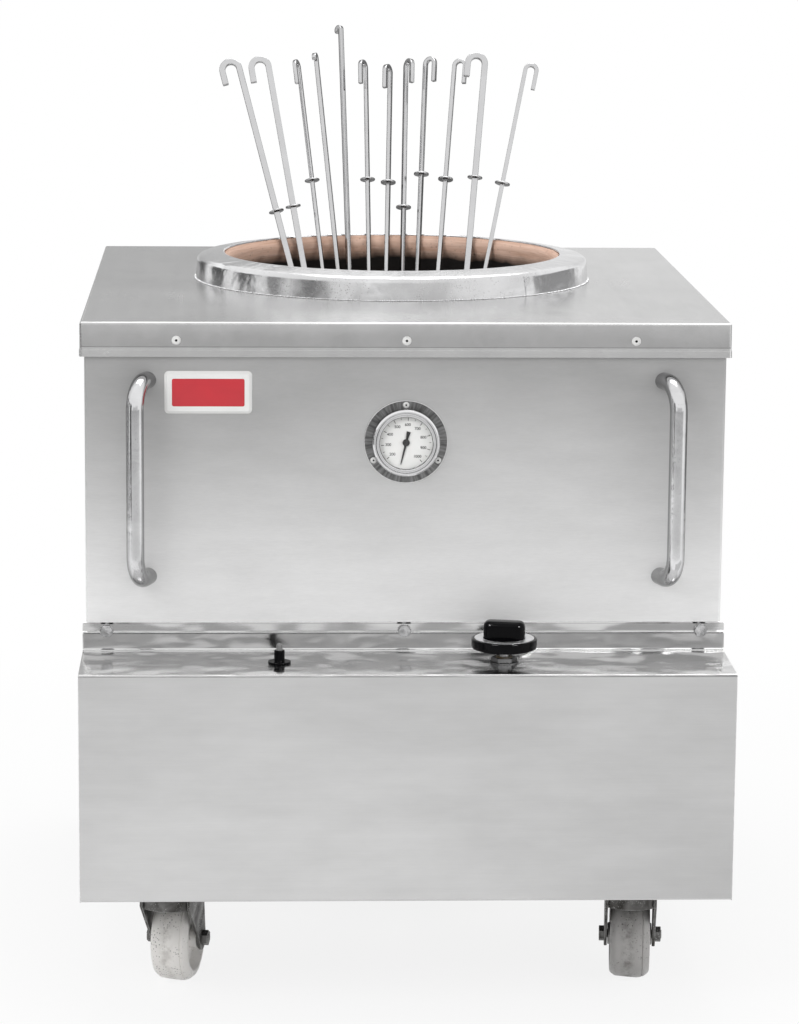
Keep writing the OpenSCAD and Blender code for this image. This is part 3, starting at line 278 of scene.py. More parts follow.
class EffectLibrary:
    """Shader node groups that more than one finish uses, each built once."""

    def __init__(self) -> None:
        """Starts with no group built."""
        self.built: dict[str, NodeTree] = {}

    def group(self, name: str, inputs: dict[str, str], outputs: dict[str, str],
              fill: Callable[[NodeSheet, dict, dict], None]) -> NodeTree:
        """Returns a group, building it on its first use.

        Args:
            name: The group's name.
            inputs: Input name to socket type.
            outputs: Output name to socket type.
            fill: Adds the nodes, given the sheet, the input sockets and the output sockets.

        Returns:
            The node group.
        """
        if name not in self.built:
            tree = bpy.data.node_groups.new(name, "ShaderNodeTree")
            for way, sockets in (("INPUT", inputs), ("OUTPUT", outputs)):
                for label, kind in sockets.items():
                    tree.interface.new_socket(name=label, in_out=way, socket_type=kind)
            sheet = NodeSheet(tree)
            entry = sheet.add("NodeGroupInput")
            results: dict = {}
            fill(sheet, {k: entry.outputs[k] for k in inputs}, results)
            sheet.add("NodeGroupOutput", results)
            self.built[name] = tree
        return self.built[name]

    def brushing(self) -> NodeTree:
        """Fine streaks along a direction, with a few deeper scratches."""
        def fill(s: NodeSheet, given: dict, out: dict) -> None:
            """Adds the streaks, fine over coarse."""
            drawn = s.vector("MULTIPLY", s.place(), given["Stretch"])
            coarse = s.noise(drawn, 0.35)
            fine = s.math("MULTIPLY", s.noise(drawn, 3.0, 4.0), 0.6)
            out["Streak"] = s.plus(fine, coarse, 0.4)
            out["Scratch"] = s.span(coarse, 0.66, 0.72)
        return self.group("brushing", {"Stretch": "NodeSocketVector"},
                          {"Streak": "NodeSocketFloat", "Scratch": "NodeSocketFloat"}, fill)

    def handling(self) -> NodeTree:
        """Soft clouds of wiped grease and small finger marks."""
        def fill(s: NodeSheet, given: dict, out: dict) -> None:
            """Adds the clouds and the marks."""
            place = s.place()
            cloud = s.noise(place, given["Size"], 3.0, Distortion=0.6)
            out["Cloud"] = s.span(cloud, 0.3, 0.7)
            out["Marks"] = s.math("MULTIPLY", s.span(s.dots(place, 55.0), 0.12, 0.3, 1.0, 0.0),
                                  s.span(cloud, 0.56, 0.66))
        return self.group("handling", {"Size": "NodeSocketFloat"},
                          {"Cloud": "NodeSocketFloat", "Marks": "NodeSocketFloat"}, fill)

    def pitting(self) -> NodeTree:
        """Small scattered pits or specks."""
        def fill(s: NodeSheet, given: dict, out: dict) -> None:
            """Adds the specks."""
            place = s.place()
            out["Specks"] = s.math(
                "MULTIPLY", s.span(s.dots(place, given["Density"]), 0.1, 0.3, 1.0, 0.0),
                s.span(s.noise(place, 40.0), 0.45, 0.6))
        return self.group("pitting", {"Density": "NodeSocketFloat"},
                          {"Specks": "NodeSocketFloat"}, fill)

    def worn_edges(self) -> NodeTree:
        """A mask that is one on sharp outer edges, broken up by noise."""
        def fill(s: NodeSheet, given: dict, out: dict) -> None:
            """Adds the mask."""
            soft = s.add("ShaderNodeBevel", {"Radius": given["Width"]}, samples=4).outputs[0]
            flat = s.add("ShaderNodeNewGeometry").outputs["Normal"]
            out["Wear"] = s.math(
                "MULTIPLY", s.span(s.vector("DOT_PRODUCT", soft, flat, "Value"), 0.98, 0.80),
                s.span(s.noise(s.place(), 90.0, 4.0), 0.35, 0.6, 0.3, 1.0))
        return self.group("worn_edges", {"Width": "NodeSocketFloat"},
                          {"Wear": "NodeSocketFloat"}, fill)


EFFECTS = EffectLibrary()
SHADOW: Rgb = (0.03, 0.03, 0.03)


def placed(name: str, data: object) -> Piece:
    """Makes an object of some data and links it to the scene.

    Args:
        name: The object's name.
        data: Its mesh, curve, lamp or camera.

    Returns:
        The object.
    """
    thing = bpy.data.objects.new(name, data)
    bpy.context.scene.collection.objects.link(thing)
    return thing


def blank_material(name: str) -> tuple[Material, NodeSheet]:
    """Makes a material without nodes.

    Args:
        name: The material's name.

    Returns:
        The material and its sheet.
    """
    material = bpy.data.materials.new(name)
    material.use_nodes = True
    material.node_tree.nodes.clear()
    return material, NodeSheet(material.node_tree)


@dataclass(frozen=True)
class Finish:
    """Base of every finish: a material with one Principled shader."""

    def build(self, name: str) -> Material:
        """Makes the material.

        Args:
            name: The material's name.

        Returns:
            The finished material.
        """
        material, s = blank_material(name)
        shader = s.add("ShaderNodeBsdfPrincipled", self.paint(s))
        s.add("ShaderNodeOutputMaterial", {"Surface": self.surface(s, shader.outputs[0])})
        return material

    def paint(self, s: NodeSheet) -> dict:
        """Returns the shader's inputs by name.

        Args:
            s: The material's sheet.
        """
        raise NotImplementedError

    def surface(self, s: NodeSheet, shader: Socket) -> Socket:
        """Returns what the surface shows: the shader as it is, unless a finish adds to it.

        Args:
            s: The material's sheet.
            shader: The shader's output.
        """
        return shader

    @staticmethod
    def effect(s: NodeSheet, tree: NodeTree, **values: object) -> object:
        """Places a shared effect.

        Args:
            s: The material's sheet.
            tree: The effect's node group.
            values: Input values by name.

        Returns:
            The effect's outputs, by name.
        """
        return s.add("ShaderNodeGroup", values, node_tree=tree).outputs


@dataclass(frozen=True)
class SheetSteel(Finish):
    """Brushed stainless sheet with wipe marks and slightly wavy reflections.

    Above `shiny_from` (a height in metres) the sheet is polished instead of brushed. Below
    `hem_z` it is the hem, painted lighter, under a crease painted dark as painted shade. From
    `head_z` down to `foot_z` the colour is painted ever brighter, up to `foot_tone`, as a painted
    light gradient. Each height in `folds` is a rounded fold with a real bump, painted lighter as a
    painted highlight, and sharp edges are painted lighter as a painted highlight.
    """

    tone: float = 0.60
    rough: float = 0.34
    grain: Grain = Grain.UPRIGHT
    streak: float = 0.02
    smear: float = 0.05
    wipe: float = 0.05
    wave: float = 0.0006
    wave_size: float = 5.0
    shiny_from: float = 9.0
    shiny_rough: float = 0.10
    shiny_wave: float = 3.0
    hem_z: float = -9.0
    metal: float = 1.0
    foot_tone: float = 0.60
    foot_z: float = -9.0
    head_z: float = -8.0
    drift: float = 0.22
    edge_highlight_gain: float = 0.12
    edge_width: float = 1.2 * MM
    folds: tuple[float, ...] = ()
    fold_half: float = 2.2 * MM
    fold_highlight_gain: float = 0.35
    hem_gain: float = 0.16
    crease_shade: float = 0.22

    def paint(self, s: NodeSheet) -> dict:
        """Returns the shader's inputs by name.

        Args:
            s: The material's sheet.
        """
        brush = self.effect(s, EFFECTS.brushing(), Stretch=self.grain.value)
        touch = self.effect(s, EFFECTS.handling(), Size=3.2)
        sharp_edges = self.effect(s, EFFECTS.worn_edges(), Width=self.edge_width)
        place = s.place()
        height = s.height(place)
        shiny = s.span(height, self.shiny_from - 1 * MM, self.shiny_from + 1 * MM)
        along = s.vector("MULTIPLY", place, tuple(4.0 + g * 0.04 for g in self.grain.value))
        swing = self.smear * self.tone
        # Painted light gradient: the colour is painted brighter from head_z down to foot_z, up to
        # foot_tone.
        painted_light_height = s.plus(height, s.math("SUBTRACT", s.noise(place, 2.4), 0.5), self.drift)
        level = s.math("MULTIPLY",
                       s.span(painted_light_height, self.foot_z, self.head_z, self.foot_tone, self.tone),
                       s.span(brush["Streak"], 0.3, 0.7, 1 - self.streak, 1 + self.streak))
        level = s.plus(level, s.span(s.noise(along, 1.6, 5.0, Roughness=0.6), 0.3, 0.7,
                                     -swing, swing))
        level = s.plus(level, touch["Cloud"], -self.wipe * self.tone)
        # Painted highlight: sharp edges are painted lighter.
        level = s.plus(level, sharp_edges["Wear"], self.edge_highlight_gain)
        # Painted highlight: each fold line is painted lighter, besides its real bump.
        ridge = s.math("ADD", 0.0, 0.0)
        for fold in self.folds:
            near = s.math("ABSOLUTE", s.math("SUBTRACT", height, fold))
            ridge = s.math("MAXIMUM", ridge, s.span(near, 0.0, self.fold_half, 1.0, 0.0))
        level = s.plus(level, ridge, self.fold_highlight_gain)
        # The hem below hem_z is painted lighter, and the crease at hem_z is painted dark as painted
        # shade.
        level = s.plus(level, s.span(height, self.hem_z, self.hem_z - 0.3 * MM, 0.0,
                                     self.hem_gain))
        from_hem = s.math("ABSOLUTE", s.math("SUBTRACT", height, self.hem_z))
        level = s.math("SUBTRACT", level, s.span(from_hem, 0.3 * MM, 0.9 * MM,
                                                 self.crease_shade, 0.0))
        matt = s.plus(s.math("MULTIPLY", touch["Cloud"], 0.07), brush["Scratch"], 0.02)
        matt = s.plus(matt, touch["Marks"], 0.012)
        swell = s.plus(s.noise(place, self.wave_size),
                       s.math("MULTIPLY", s.noise(place, 16.0, 1.0), shiny), self.shiny_wave)
        fine = s.bump(brush["Streak"], 0.4 * MM, 0.06)
        big = s.bump(swell, self.wave, Normal=fine)
        return {"Base Color": s.blend(0.02, s.grey(level), (0.55, 0.50, 0.44)),
                "Roughness": s.plus(matt, s.span(shiny, 0.0, 1.0, self.rough,
                                                 self.shiny_rough)),
                "Metallic": s.span(shiny, 0.0, 1.0, self.metal, 1.0),
                "Normal": s.bump(ridge, self.fold_half, Normal=big)}


@dataclass(frozen=True)
class BrightSteel(Finish):
    """Polished or plated steel with fine scratches.

    `soft` is the radius to which the light rounds its edges, `edge_shade` how dark it goes
    where it turns away from the eye, and `flat_shade` how dark its level faces are.
    """

    tone: float = 0.72
    rough: float = 0.12
    dirt: Rgb = (0.20, 0.18, 0.16)
    dirt_share: float = 0.15
    wave: float = 0.0001
    density: float = 300.0
    cloud_size: float = 24.0
    soft: float = 0.0
    edge_shade: float = 0.0
    flat_shade: float = 0.0

    def paint(self, s: NodeSheet) -> dict:
        """Returns the shader's inputs by name.

        Args:
            s: The material's sheet.
        """
        touch = self.effect(s, EFFECTS.handling(), Size=self.cloud_size)
        pits = self.effect(s, EFFECTS.pitting(), Density=self.density)
        brush = self.effect(s, EFFECTS.brushing(), Stretch=Grain.NONE.value)
        # Mostly real dirt; on the bolt heads the near-black share is painted shade.
        share = s.plus(s.math("MULTIPLY", touch["Cloud"], self.dirt_share), pits["Specks"],
                       self.dirt_share)
        colour = s.blend(share, (self.tone, self.tone, self.tone * 1.01), self.dirt)
        eased = {}
        if self.soft > 0:
            eased["Normal"] = s.add("ShaderNodeBevel", {"Radius": self.soft},
                                    samples=8).outputs[0]
        if self.edge_shade > 0:
            rim = s.add("ShaderNodeLayerWeight", {"Blend": 0.5, **eased}).outputs["Facing"]
            colour = s.blend(s.span(rim, 0.22, 0.62, 0.0, self.edge_shade), colour, SHADOW)
        if self.flat_shade > 0:
            flat = s.add("ShaderNodeNewGeometry").outputs["True Normal"]
            up = s.math("ABSOLUTE", s.height(flat))
            colour = s.blend(s.span(up, 0.86, 0.94, 0.0, self.flat_shade), colour, SHADOW)
        matt = s.span(brush["Streak"], 0.3, 0.7, self.rough * 0.7, self.rough * 1.5)
        return {"Base Color": colour, "Roughness": s.plus(matt, share, 0.4), "Metallic": 1.0,
                "Normal": s.bump(touch["Cloud"], self.wave, **eased)}


@dataclass(frozen=True)
class TurnedSteel(Finish):
    """Turned disc, matt and streaked towards its centre outside a polished middle."""

    centre: Point = (0.0, 0.0, 0.0)
    bright_radius: float = 44.0 * MM
    rim_radius: float = 54.5 * MM
    bright: float = 0.80
    dull: float = 0.20
    rays: float = 9.0

    def paint(self, s: NodeSheet) -> dict:
        """Returns the shader's inputs by name.

        Args:
            s: The material's sheet.
        """
        off = s.vector("SUBTRACT", s.place(), self.centre)
        parts = s.add("ShaderNodeSeparateXYZ", {0: off}).outputs
        across, up = parts[0], parts[2]
        radius = s.math("SQRT", s.plus(s.math("MULTIPLY", across, across), up, up))
        angle = s.math("ARCTAN2", up, across)
        ray = s.add("ShaderNodeCombineXYZ", {
            0: s.math("MULTIPLY", s.math("COSINE", angle), self.rays),
            1: s.math("MULTIPLY", s.math("SINE", angle), self.rays),
            2: s.math("MULTIPLY", radius, 20.0)}).outputs[0]
        streak = s.noise(ray, 1.7, 4.0)
        level = s.span(streak, 0.36, 0.64, self.dull * 0.65, self.dull * 1.5)
        inside = s.span(radius, self.bright_radius, self.bright_radius + 0.5 * MM, 1.0, 0.0)
        shine = s.math("MAXIMUM", inside,
                       s.span(radius, self.rim_radius, self.rim_radius + 0.4 * MM))
        return {"Base Color": s.blend(shine, s.grey(level), (self.bright,) * 3),
                "Roughness": s.span(shine, 0.0, 1.0, 0.30, 0.09), "Metallic": 1.0,
                "Normal": s.bump(streak, 0.2 * MM)}


@dataclass(frozen=True)
class DullZinc(Finish):
    """Grey zinc plating with white bloom and grime; its sharp edges are painted pale, partly as
    rubbed wear and partly as painted highlight.
    """

    tone: Rgb = (0.19, 0.187, 0.183)
    bloom: Rgb = (0.62, 0.62, 0.61)
    grime: Rgb = (0.05, 0.047, 0.043)

    def paint(self, s: NodeSheet) -> dict:
        """Returns the shader's inputs by name.

        Args:
            s: The material's sheet.
        """
        touch = self.effect(s, EFFECTS.handling(), Size=38.0)
        pits = self.effect(s, EFFECTS.pitting(), Density=420.0)
        sharp_edges = self.effect(s, EFFECTS.worn_edges(), Width=1.5 * MM)
        colour = s.blend(touch["Cloud"], self.tone, self.grime)
        # Rubbed wear and painted highlight: sharp edges are painted pale with the bloom colour.
        colour = s.blend(sharp_edges["Wear"], colour, self.bloom)
        return {"Base Color": s.blend(pits["Specks"], colour, self.bloom),
                "Roughness": s.span(touch["Cloud"], 0.0, 1.0, 0.36, 0.62), "Metallic": 0.75,
                "Normal": s.bump(pits["Specks"], 0.3 * MM)}


@dataclass(frozen=True)
class FiredClay(Finish):
    """Brushed terracotta that turns near black from a little below the lip down."""

    clay: Rgb = (0.62, 0.385, 0.28)
    pale: Rgb = (0.80, 0.57, 0.46)
    pit: Rgb = (0.22, 0.13, 0.10)
    deep_colour: Rgb = (0.012, 0.010, 0.009)
    lip_z: float = 0.949
    clean_depth: float = 20 * MM
    dark_depth: float = 35 * MM

    def paint(self, s: NodeSheet) -> dict:
        """Returns the shader's inputs by name.

        Args:
            s: The material's sheet.
        """
        place = s.place()
        cloud = s.noise(place, 22.0, 5.0)
        strokes = self.effect(s, EFFECTS.brushing(), Stretch=(9.0, 9.0, 220.0))["Streak"]
        pits = self.effect(s, EFFECTS.pitting(), Density=150.0)["Specks"]
        # Below the lip the clay is painted near black with depth.
        ragged = s.plus(s.height(place), s.math("SUBTRACT", cloud, 0.5), 20 * MM)
        darkened_below_lip = s.span(ragged, self.lip_z - self.clean_depth, self.lip_z - self.dark_depth)
        colour = s.blend(s.span(strokes, 0.35, 0.68), self.clay, self.pale)
        colour = s.blend(s.math("MULTIPLY", pits, 0.5), colour, self.pit)
        rough = s.plus(s.math("MULTIPLY", strokes, 0.5), cloud, 0.5)
        return {"Base Color": s.blend(darkened_below_lip, colour, self.deep_colour),
                "Roughness": s.span(cloud, 0.3, 0.7, 0.72, 0.95),
                "Normal": s.bump(rough, 1.6 * MM)}


@dataclass(frozen=True)
class Enamel(Finish):
    """Painted or moulded surface, glossy or matt, with dust and small marks."""

    colour: Rgb = (0.8, 0.8, 0.8)
    shade: Rgb = (0.6, 0.6, 0.58)
    rough: float = 0.3
    coat: float = 0.0
    gloss: float = 0.5
    dust: float = 0.2
    relief_depth: float = 0.00005
    rough_spread: float = 0.15

    def paint(self, s: NodeSheet) -> dict:
        """Returns the shader's inputs by name.

        Args:
            s: The material's sheet.
        """
        touch = self.effect(s, EFFECTS.handling(), Size=30.0)["Cloud"]
        pits = self.effect(s, EFFECTS.pitting(), Density=500.0)["Specks"]
        sharp_edges = self.effect(s, EFFECTS.worn_edges(), Width=0.8 * MM)["Wear"]
        share = s.plus(s.math("MULTIPLY", touch, self.dust), sharp_edges, self.dust)
        return {"Base Color": s.blend(share, self.colour, self.shade),
                "Roughness": s.span(touch, 0.0, 1.0, self.rough,
                                    self.rough + self.rough_spread),
                "Specular IOR Level": self.gloss, "Coat Weight": self.coat,
                "Coat Roughness": 0.06, "Normal": s.bump(pits, self.relief_depth)}


@dataclass(frozen=True)
class WornTread(Finish):
    """Moulded wheel: grimy along the middle of its tread, with nicks and a dirty hub."""

    colour: Rgb = (0.66, 0.64, 0.61)
    dirt: Rgb = (0.33, 0.31, 0.29)
    nick: Rgb = (0.06, 0.055, 0.05)
    centre: Point = (0.0, 0.0, 0.0)
    axle: Point = (1.0, 0.0, 0.0)
    dirt_share: float = 0.7

    def paint(self, s: NodeSheet) -> dict:
        """Returns the shader's inputs by name.

        Args:
            s: The material's sheet.
        """
        place = s.place()
        off = s.vector("SUBTRACT", place, self.centre)
        along = s.vector("DOT_PRODUCT", off, self.axle, "Value")
        cloud = s.noise(place, 70.0, 6.0, Roughness=0.65)
        pits = self.effect(s, EFFECTS.pitting(), Density=260.0)["Specks"]
        middle = s.span(s.math("ABSOLUTE", s.math("ADD", along, 3 * MM)), 3 * MM, 11 * MM,
                        1.0, 0.0)
        share = s.math("MULTIPLY", middle, s.span(cloud, 0.42, 0.66))
        share = s.math("MULTIPLY", s.plus(share, s.noise(place, 28.0, 3.0), 0.25),
                       self.dirt_share)
        colour = s.blend(share, self.colour, self.dirt)
        return {"Base Color": s.blend(s.math("MULTIPLY", pits, 0.75), colour, self.nick),
                "Roughness": s.span(share, 0.0, 0.7, 0.30, 0.62),
                "Normal": s.bump(s.plus(cloud, pits, -0.6), 0.9 * MM)}


@dataclass(frozen=True)
class ClearGlass(Finish):
    """Thin clear gauge glass with faint dust."""

    def paint(self, s: NodeSheet) -> dict:
        """Returns the shader's inputs by name.

        Args:
            s: The material's sheet.
        """
        touch = self.effect(s, EFFECTS.handling(), Size=60.0)
        dust = s.math("MULTIPLY", touch["Marks"], 0.05)
        return {"Base Color": s.blend(dust, (1.0, 1.0, 1.0), (0.8, 0.8, 0.8)),
                "Roughness": s.span(touch["Cloud"], 0.0, 1.0, 0.0, 0.03),
                "Transmission Weight": 1.0, "IOR": 1.06}

    def surface(self, s: NodeSheet, shader: Socket) -> Socket:
        """Returns the glass, which lets the lamps' light straight through.

        Args:
            s: The material's sheet.
            shader: The shader's output.
        """
        through = s.add("ShaderNodeBsdfTransparent").outputs[0]
        shadow = s.add("ShaderNodeLightPath").outputs["Is Shadow Ray"]
        return s.add("ShaderNodeMixShader", {0: shadow, 1: shader, 2: through}).outputs[0]


# ---- Mesh making ------------------------------------------------------------------


class Workshop:
    """Makes, finishes and mounts the pieces, and knows which body each node is in."""

    def __init__(self, frame: dict) -> None:
        """Takes the loaded frame.
        """
        record = frame["record"]
        self.nodes = frame["nodes"]
        self.body = {n: b for b, ns in record["behaviour"]["bodies"].items() for n in ns}
        self.slots = {row["node"]: row["material_slot"] for row in record["subparts"]}
        self.axis = {j["name"]: Vector(j["axis"]) for j in record["behaviour"]["joints"]}

    def mount(self, piece: Piece, node: str, *more: str,
              stands_in: bool = True) -> Piece:
        """Rides a piece on a node's body, and in its place if it stands in.

        Args:
            piece: The new piece.
            node: The CAD node whose body it takes.
            more: Further nodes that it stands in for.
            stands_in: Whether the piece replaces the node or only joins it.

        Returns:
            The piece.
        """
        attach(piece, self.body[node])
        if stands_in:
            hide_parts(node, *more)
        LOG.info("piece %s on body %s", piece.name, self.body[node])
        return piece

    def dress(self, node: str, material: Material) -> None:
        """Gives a CAD node a better material and leaves its mesh alone.

        Args:
            node: The CAD node.
            material: Its new material.
        """
        slots = self.nodes[node].material_slots
        for entry in slots:
            entry.material = material
        if not slots:
            self.nodes[node].data.materials.append(material)
        LOG.info("node %s dressed", node)

    def refine(self, node: str, name: str, material: Material, edge: float = 0.4,
               angle: float = 32.0) -> Piece:
        """Replaces a node by a copy of it with merged points and eased edges.

        Args:
            node: The CAD node.
            name: The new piece's name.
            material: The new piece's material.
            edge: Width of the eased edges in millimetres.
            angle: Angle in degrees above which an edge is eased.

        Returns:
            The mounted piece.
        """
        bm = bmesh.new()
        bm.from_mesh(self.nodes[node].data)
        bmesh.ops.remove_doubles(bm, verts=bm.verts, dist=0.01 * MM)
        bmesh.ops.dissolve_limit(bm, angle_limit=math.radians(0.5), verts=bm.verts,
                                 edges=bm.edges)
        piece = solid(bm, name, material, outward=False)
        if edge > 0:
            bevel = piece.modifiers.new("eased", "BEVEL")
            bevel.width = edge * MM
            bevel.segments = 2
            bevel.limit_method = "ANGLE"
            bevel.angle_limit = math.radians(angle)
            bevel.use_clamp_overlap = True
            bevel.harden_normals = True
            settle(piece)
        return self.mount(piece, node)


def solid(bm: BMesh, name: str, material: Material,
          outward: bool = True, smooth: float = 32.0) -> Piece:
    """Turns a bmesh into an object at the origin.

    Args:
        bm: The mesh, which is freed.
        name: The object's name.
        material: Its material.
        outward: Whether the normals are recalculated to face outwards.
        smooth: Angle in degrees below which faces shade as one.

    Returns:
        The object, linked to the scene.
    """
    if outward:
        bmesh.ops.remove_doubles(bm, verts=bm.verts, dist=0.001 * MM)
        bmesh.ops.recalc_face_normals(bm, faces=bm.faces)
    mesh = bpy.data.meshes.new(name)
    bm.to_mesh(mesh)
    bm.free()
    mesh.shade_smooth()
    mesh.set_sharp_from_angle(angle=math.radians(smooth))
    mesh.materials.append(material)
    return placed(name, mesh)


def settle(piece: Piece) -> None:
    """Applies all of a piece's modifiers to its mesh.

    Args:
        piece: The piece.
    """
    bpy.context.view_layer.update()
    graph = bpy.context.evaluated_depsgraph_get()
    mesh = bpy.data.meshes.new_from_object(piece.evaluated_get(graph))
    old = piece.data
    piece.modifiers.clear()
    piece.data = mesh
    mesh.name = piece.name
    bpy.data.meshes.remove(old)


def rounded(corners: Profile, radii: Sequence[float], steps: int = 4) -> Profile:
    """Rounds the corners of an open profile.

    Args:
        corners: The profile's corners.
        radii: Radius for each corner, 0 for a sharp one; the ends stay as they are.
        steps: Segments in each rounding.

    Returns:
        The profile with arcs in place of the corners.
    """
    out: Profile = [corners[0]]
    for before, corner, after, radius in zip(corners, corners[1:], corners[2:], radii[1:]):
        p, a, b = Vector(corner), Vector(before), Vector(after)
        if radius <= 0:
            out.append(corner)
            continue
        da, db = (a - p).normalized(), (b - p).normalized()
        half = da.angle(db) / 2
        reach = min(radius / math.tan(half), (a - p).length * 0.49, (b - p).length * 0.49)
        for k in range(steps + 1):
            t = k / steps
            point = (p + da * reach) * (1 - t) ** 2 + p * 2 * t * (1 - t) + (p + db * reach) * t * t
            out.append((point.x, point.y))
    out.append(corners[-1])
    return out


def flat_mesh(name: str, width: float, height: float) -> bpy.types.Mesh:
    """Makes a rectangle round the origin, in the xy plane.

    Args:
        name: The mesh's name.
        width: Its size along x.
        height: Its size along y.

    Returns:
        The mesh.
    """
    x, y = width / 2, height / 2
    mesh = bpy.data.meshes.new(name)
    mesh.from_pydata([(-x, -y, 0), (x, -y, 0), (x, y, 0), (-x, y, 0)], [], [(0, 1, 2, 3)])
    return mesh


def lathe(profile: Profile, place: Matrix, segments: int = 96, closed: bool = True,
          warp: Callable[[float, float, float], tuple[float, float]] | None = None
          ) -> BMesh:
    """Turns a profile about an axis.

    Args:
        profile: Radius and height of each point, in metres.
        place: Where the axis' origin and direction lie.
        segments: Steps round the axis.
        closed: Whether the profile's last point joins its first.
        warp: Optional change of radius and height, given radius, height and angle.

    Returns:
        The mesh.
    """
    bm = bmesh.new()
    rings = []
    for k in range(segments):
        angle = 2 * math.pi * k / segments
        ring = []
        for r, z in profile:
            rr, zz = warp(r, z, angle) if warp else (r, z)
            ring.append(bm.verts.new(place @ Vector((rr * math.cos(angle),
                                                     rr * math.sin(angle), zz))))
        rings.append(ring)
    count = len(profile)
    for k in range(segments):
        here, there = rings[k], rings[(k + 1) % segments]
        for i in range(count if closed else count - 1):
            j = (i + 1) % count
            bm.faces.new((here[i], there[i], there[j], here[j]))
    bmesh.ops.remove_doubles(bm, verts=bm.verts, dist=0.001 * MM)
    bmesh.ops.dissolve_degenerate(bm, edges=bm.edges, dist=0.0005 * MM)
    return bm


def stacked(size: tuple[float, float], corner: float, least: float, steps: Profile,
            place: Matrix) -> BMesh:
    """Stacks rounded rectangles into a closed solid.

    Args:
        size: The rectangle's length and width.
        corner: Radius of its corners.
        least: The least that the radius shrinks to where a ring is inset.
        steps: Height of each ring and how far it lies inside the rectangle.
        place: Where the rectangle's middle and the stack's direction lie.

    Returns:
        The mesh.
    """
    bm = bmesh.new()
    rings = []
    for height, inset in steps:
        half_l, half_w = size[0] / 2 - inset, size[1] / 2 - inset
        radius = min(max(corner - inset, least), half_w)
        ring = []
        for quarter, (side, end) in enumerate(((1, 1), (-1, 1), (-1, -1), (1, -1))):
            for step in range(9):
                a = math.pi / 2 * (quarter + step / 8)
                ring.append(bm.verts.new(place @ Vector((
                    side * (half_l - radius) + radius * math.cos(a),
                    end * (half_w - radius) + radius * math.sin(a), height))))
        rings.append(ring)
    count = len(rings[0])
    for first, second in zip(rings, rings[1:]):
        for i in range(count):
            j = (i + 1) % count
            bm.faces.new((first[i], first[j], second[j], second[i]))
    bm.faces.new(rings[0])
    bm.faces.new(rings[-1])
    return bm


def facing(origin: Point, direction: Point) -> Matrix:
    """Returns a placement whose +Z runs along a direction.

    Args:
        origin: Where the placement's origin lies.
        direction: Where its +Z points.
    """
    turn = Vector(direction).to_track_quat("Z", "Y").to_matrix().to_4x4()
    return Matrix.Translation(origin) @ turn


# ---- Repeats by geometry nodes ----------------------------------------------------


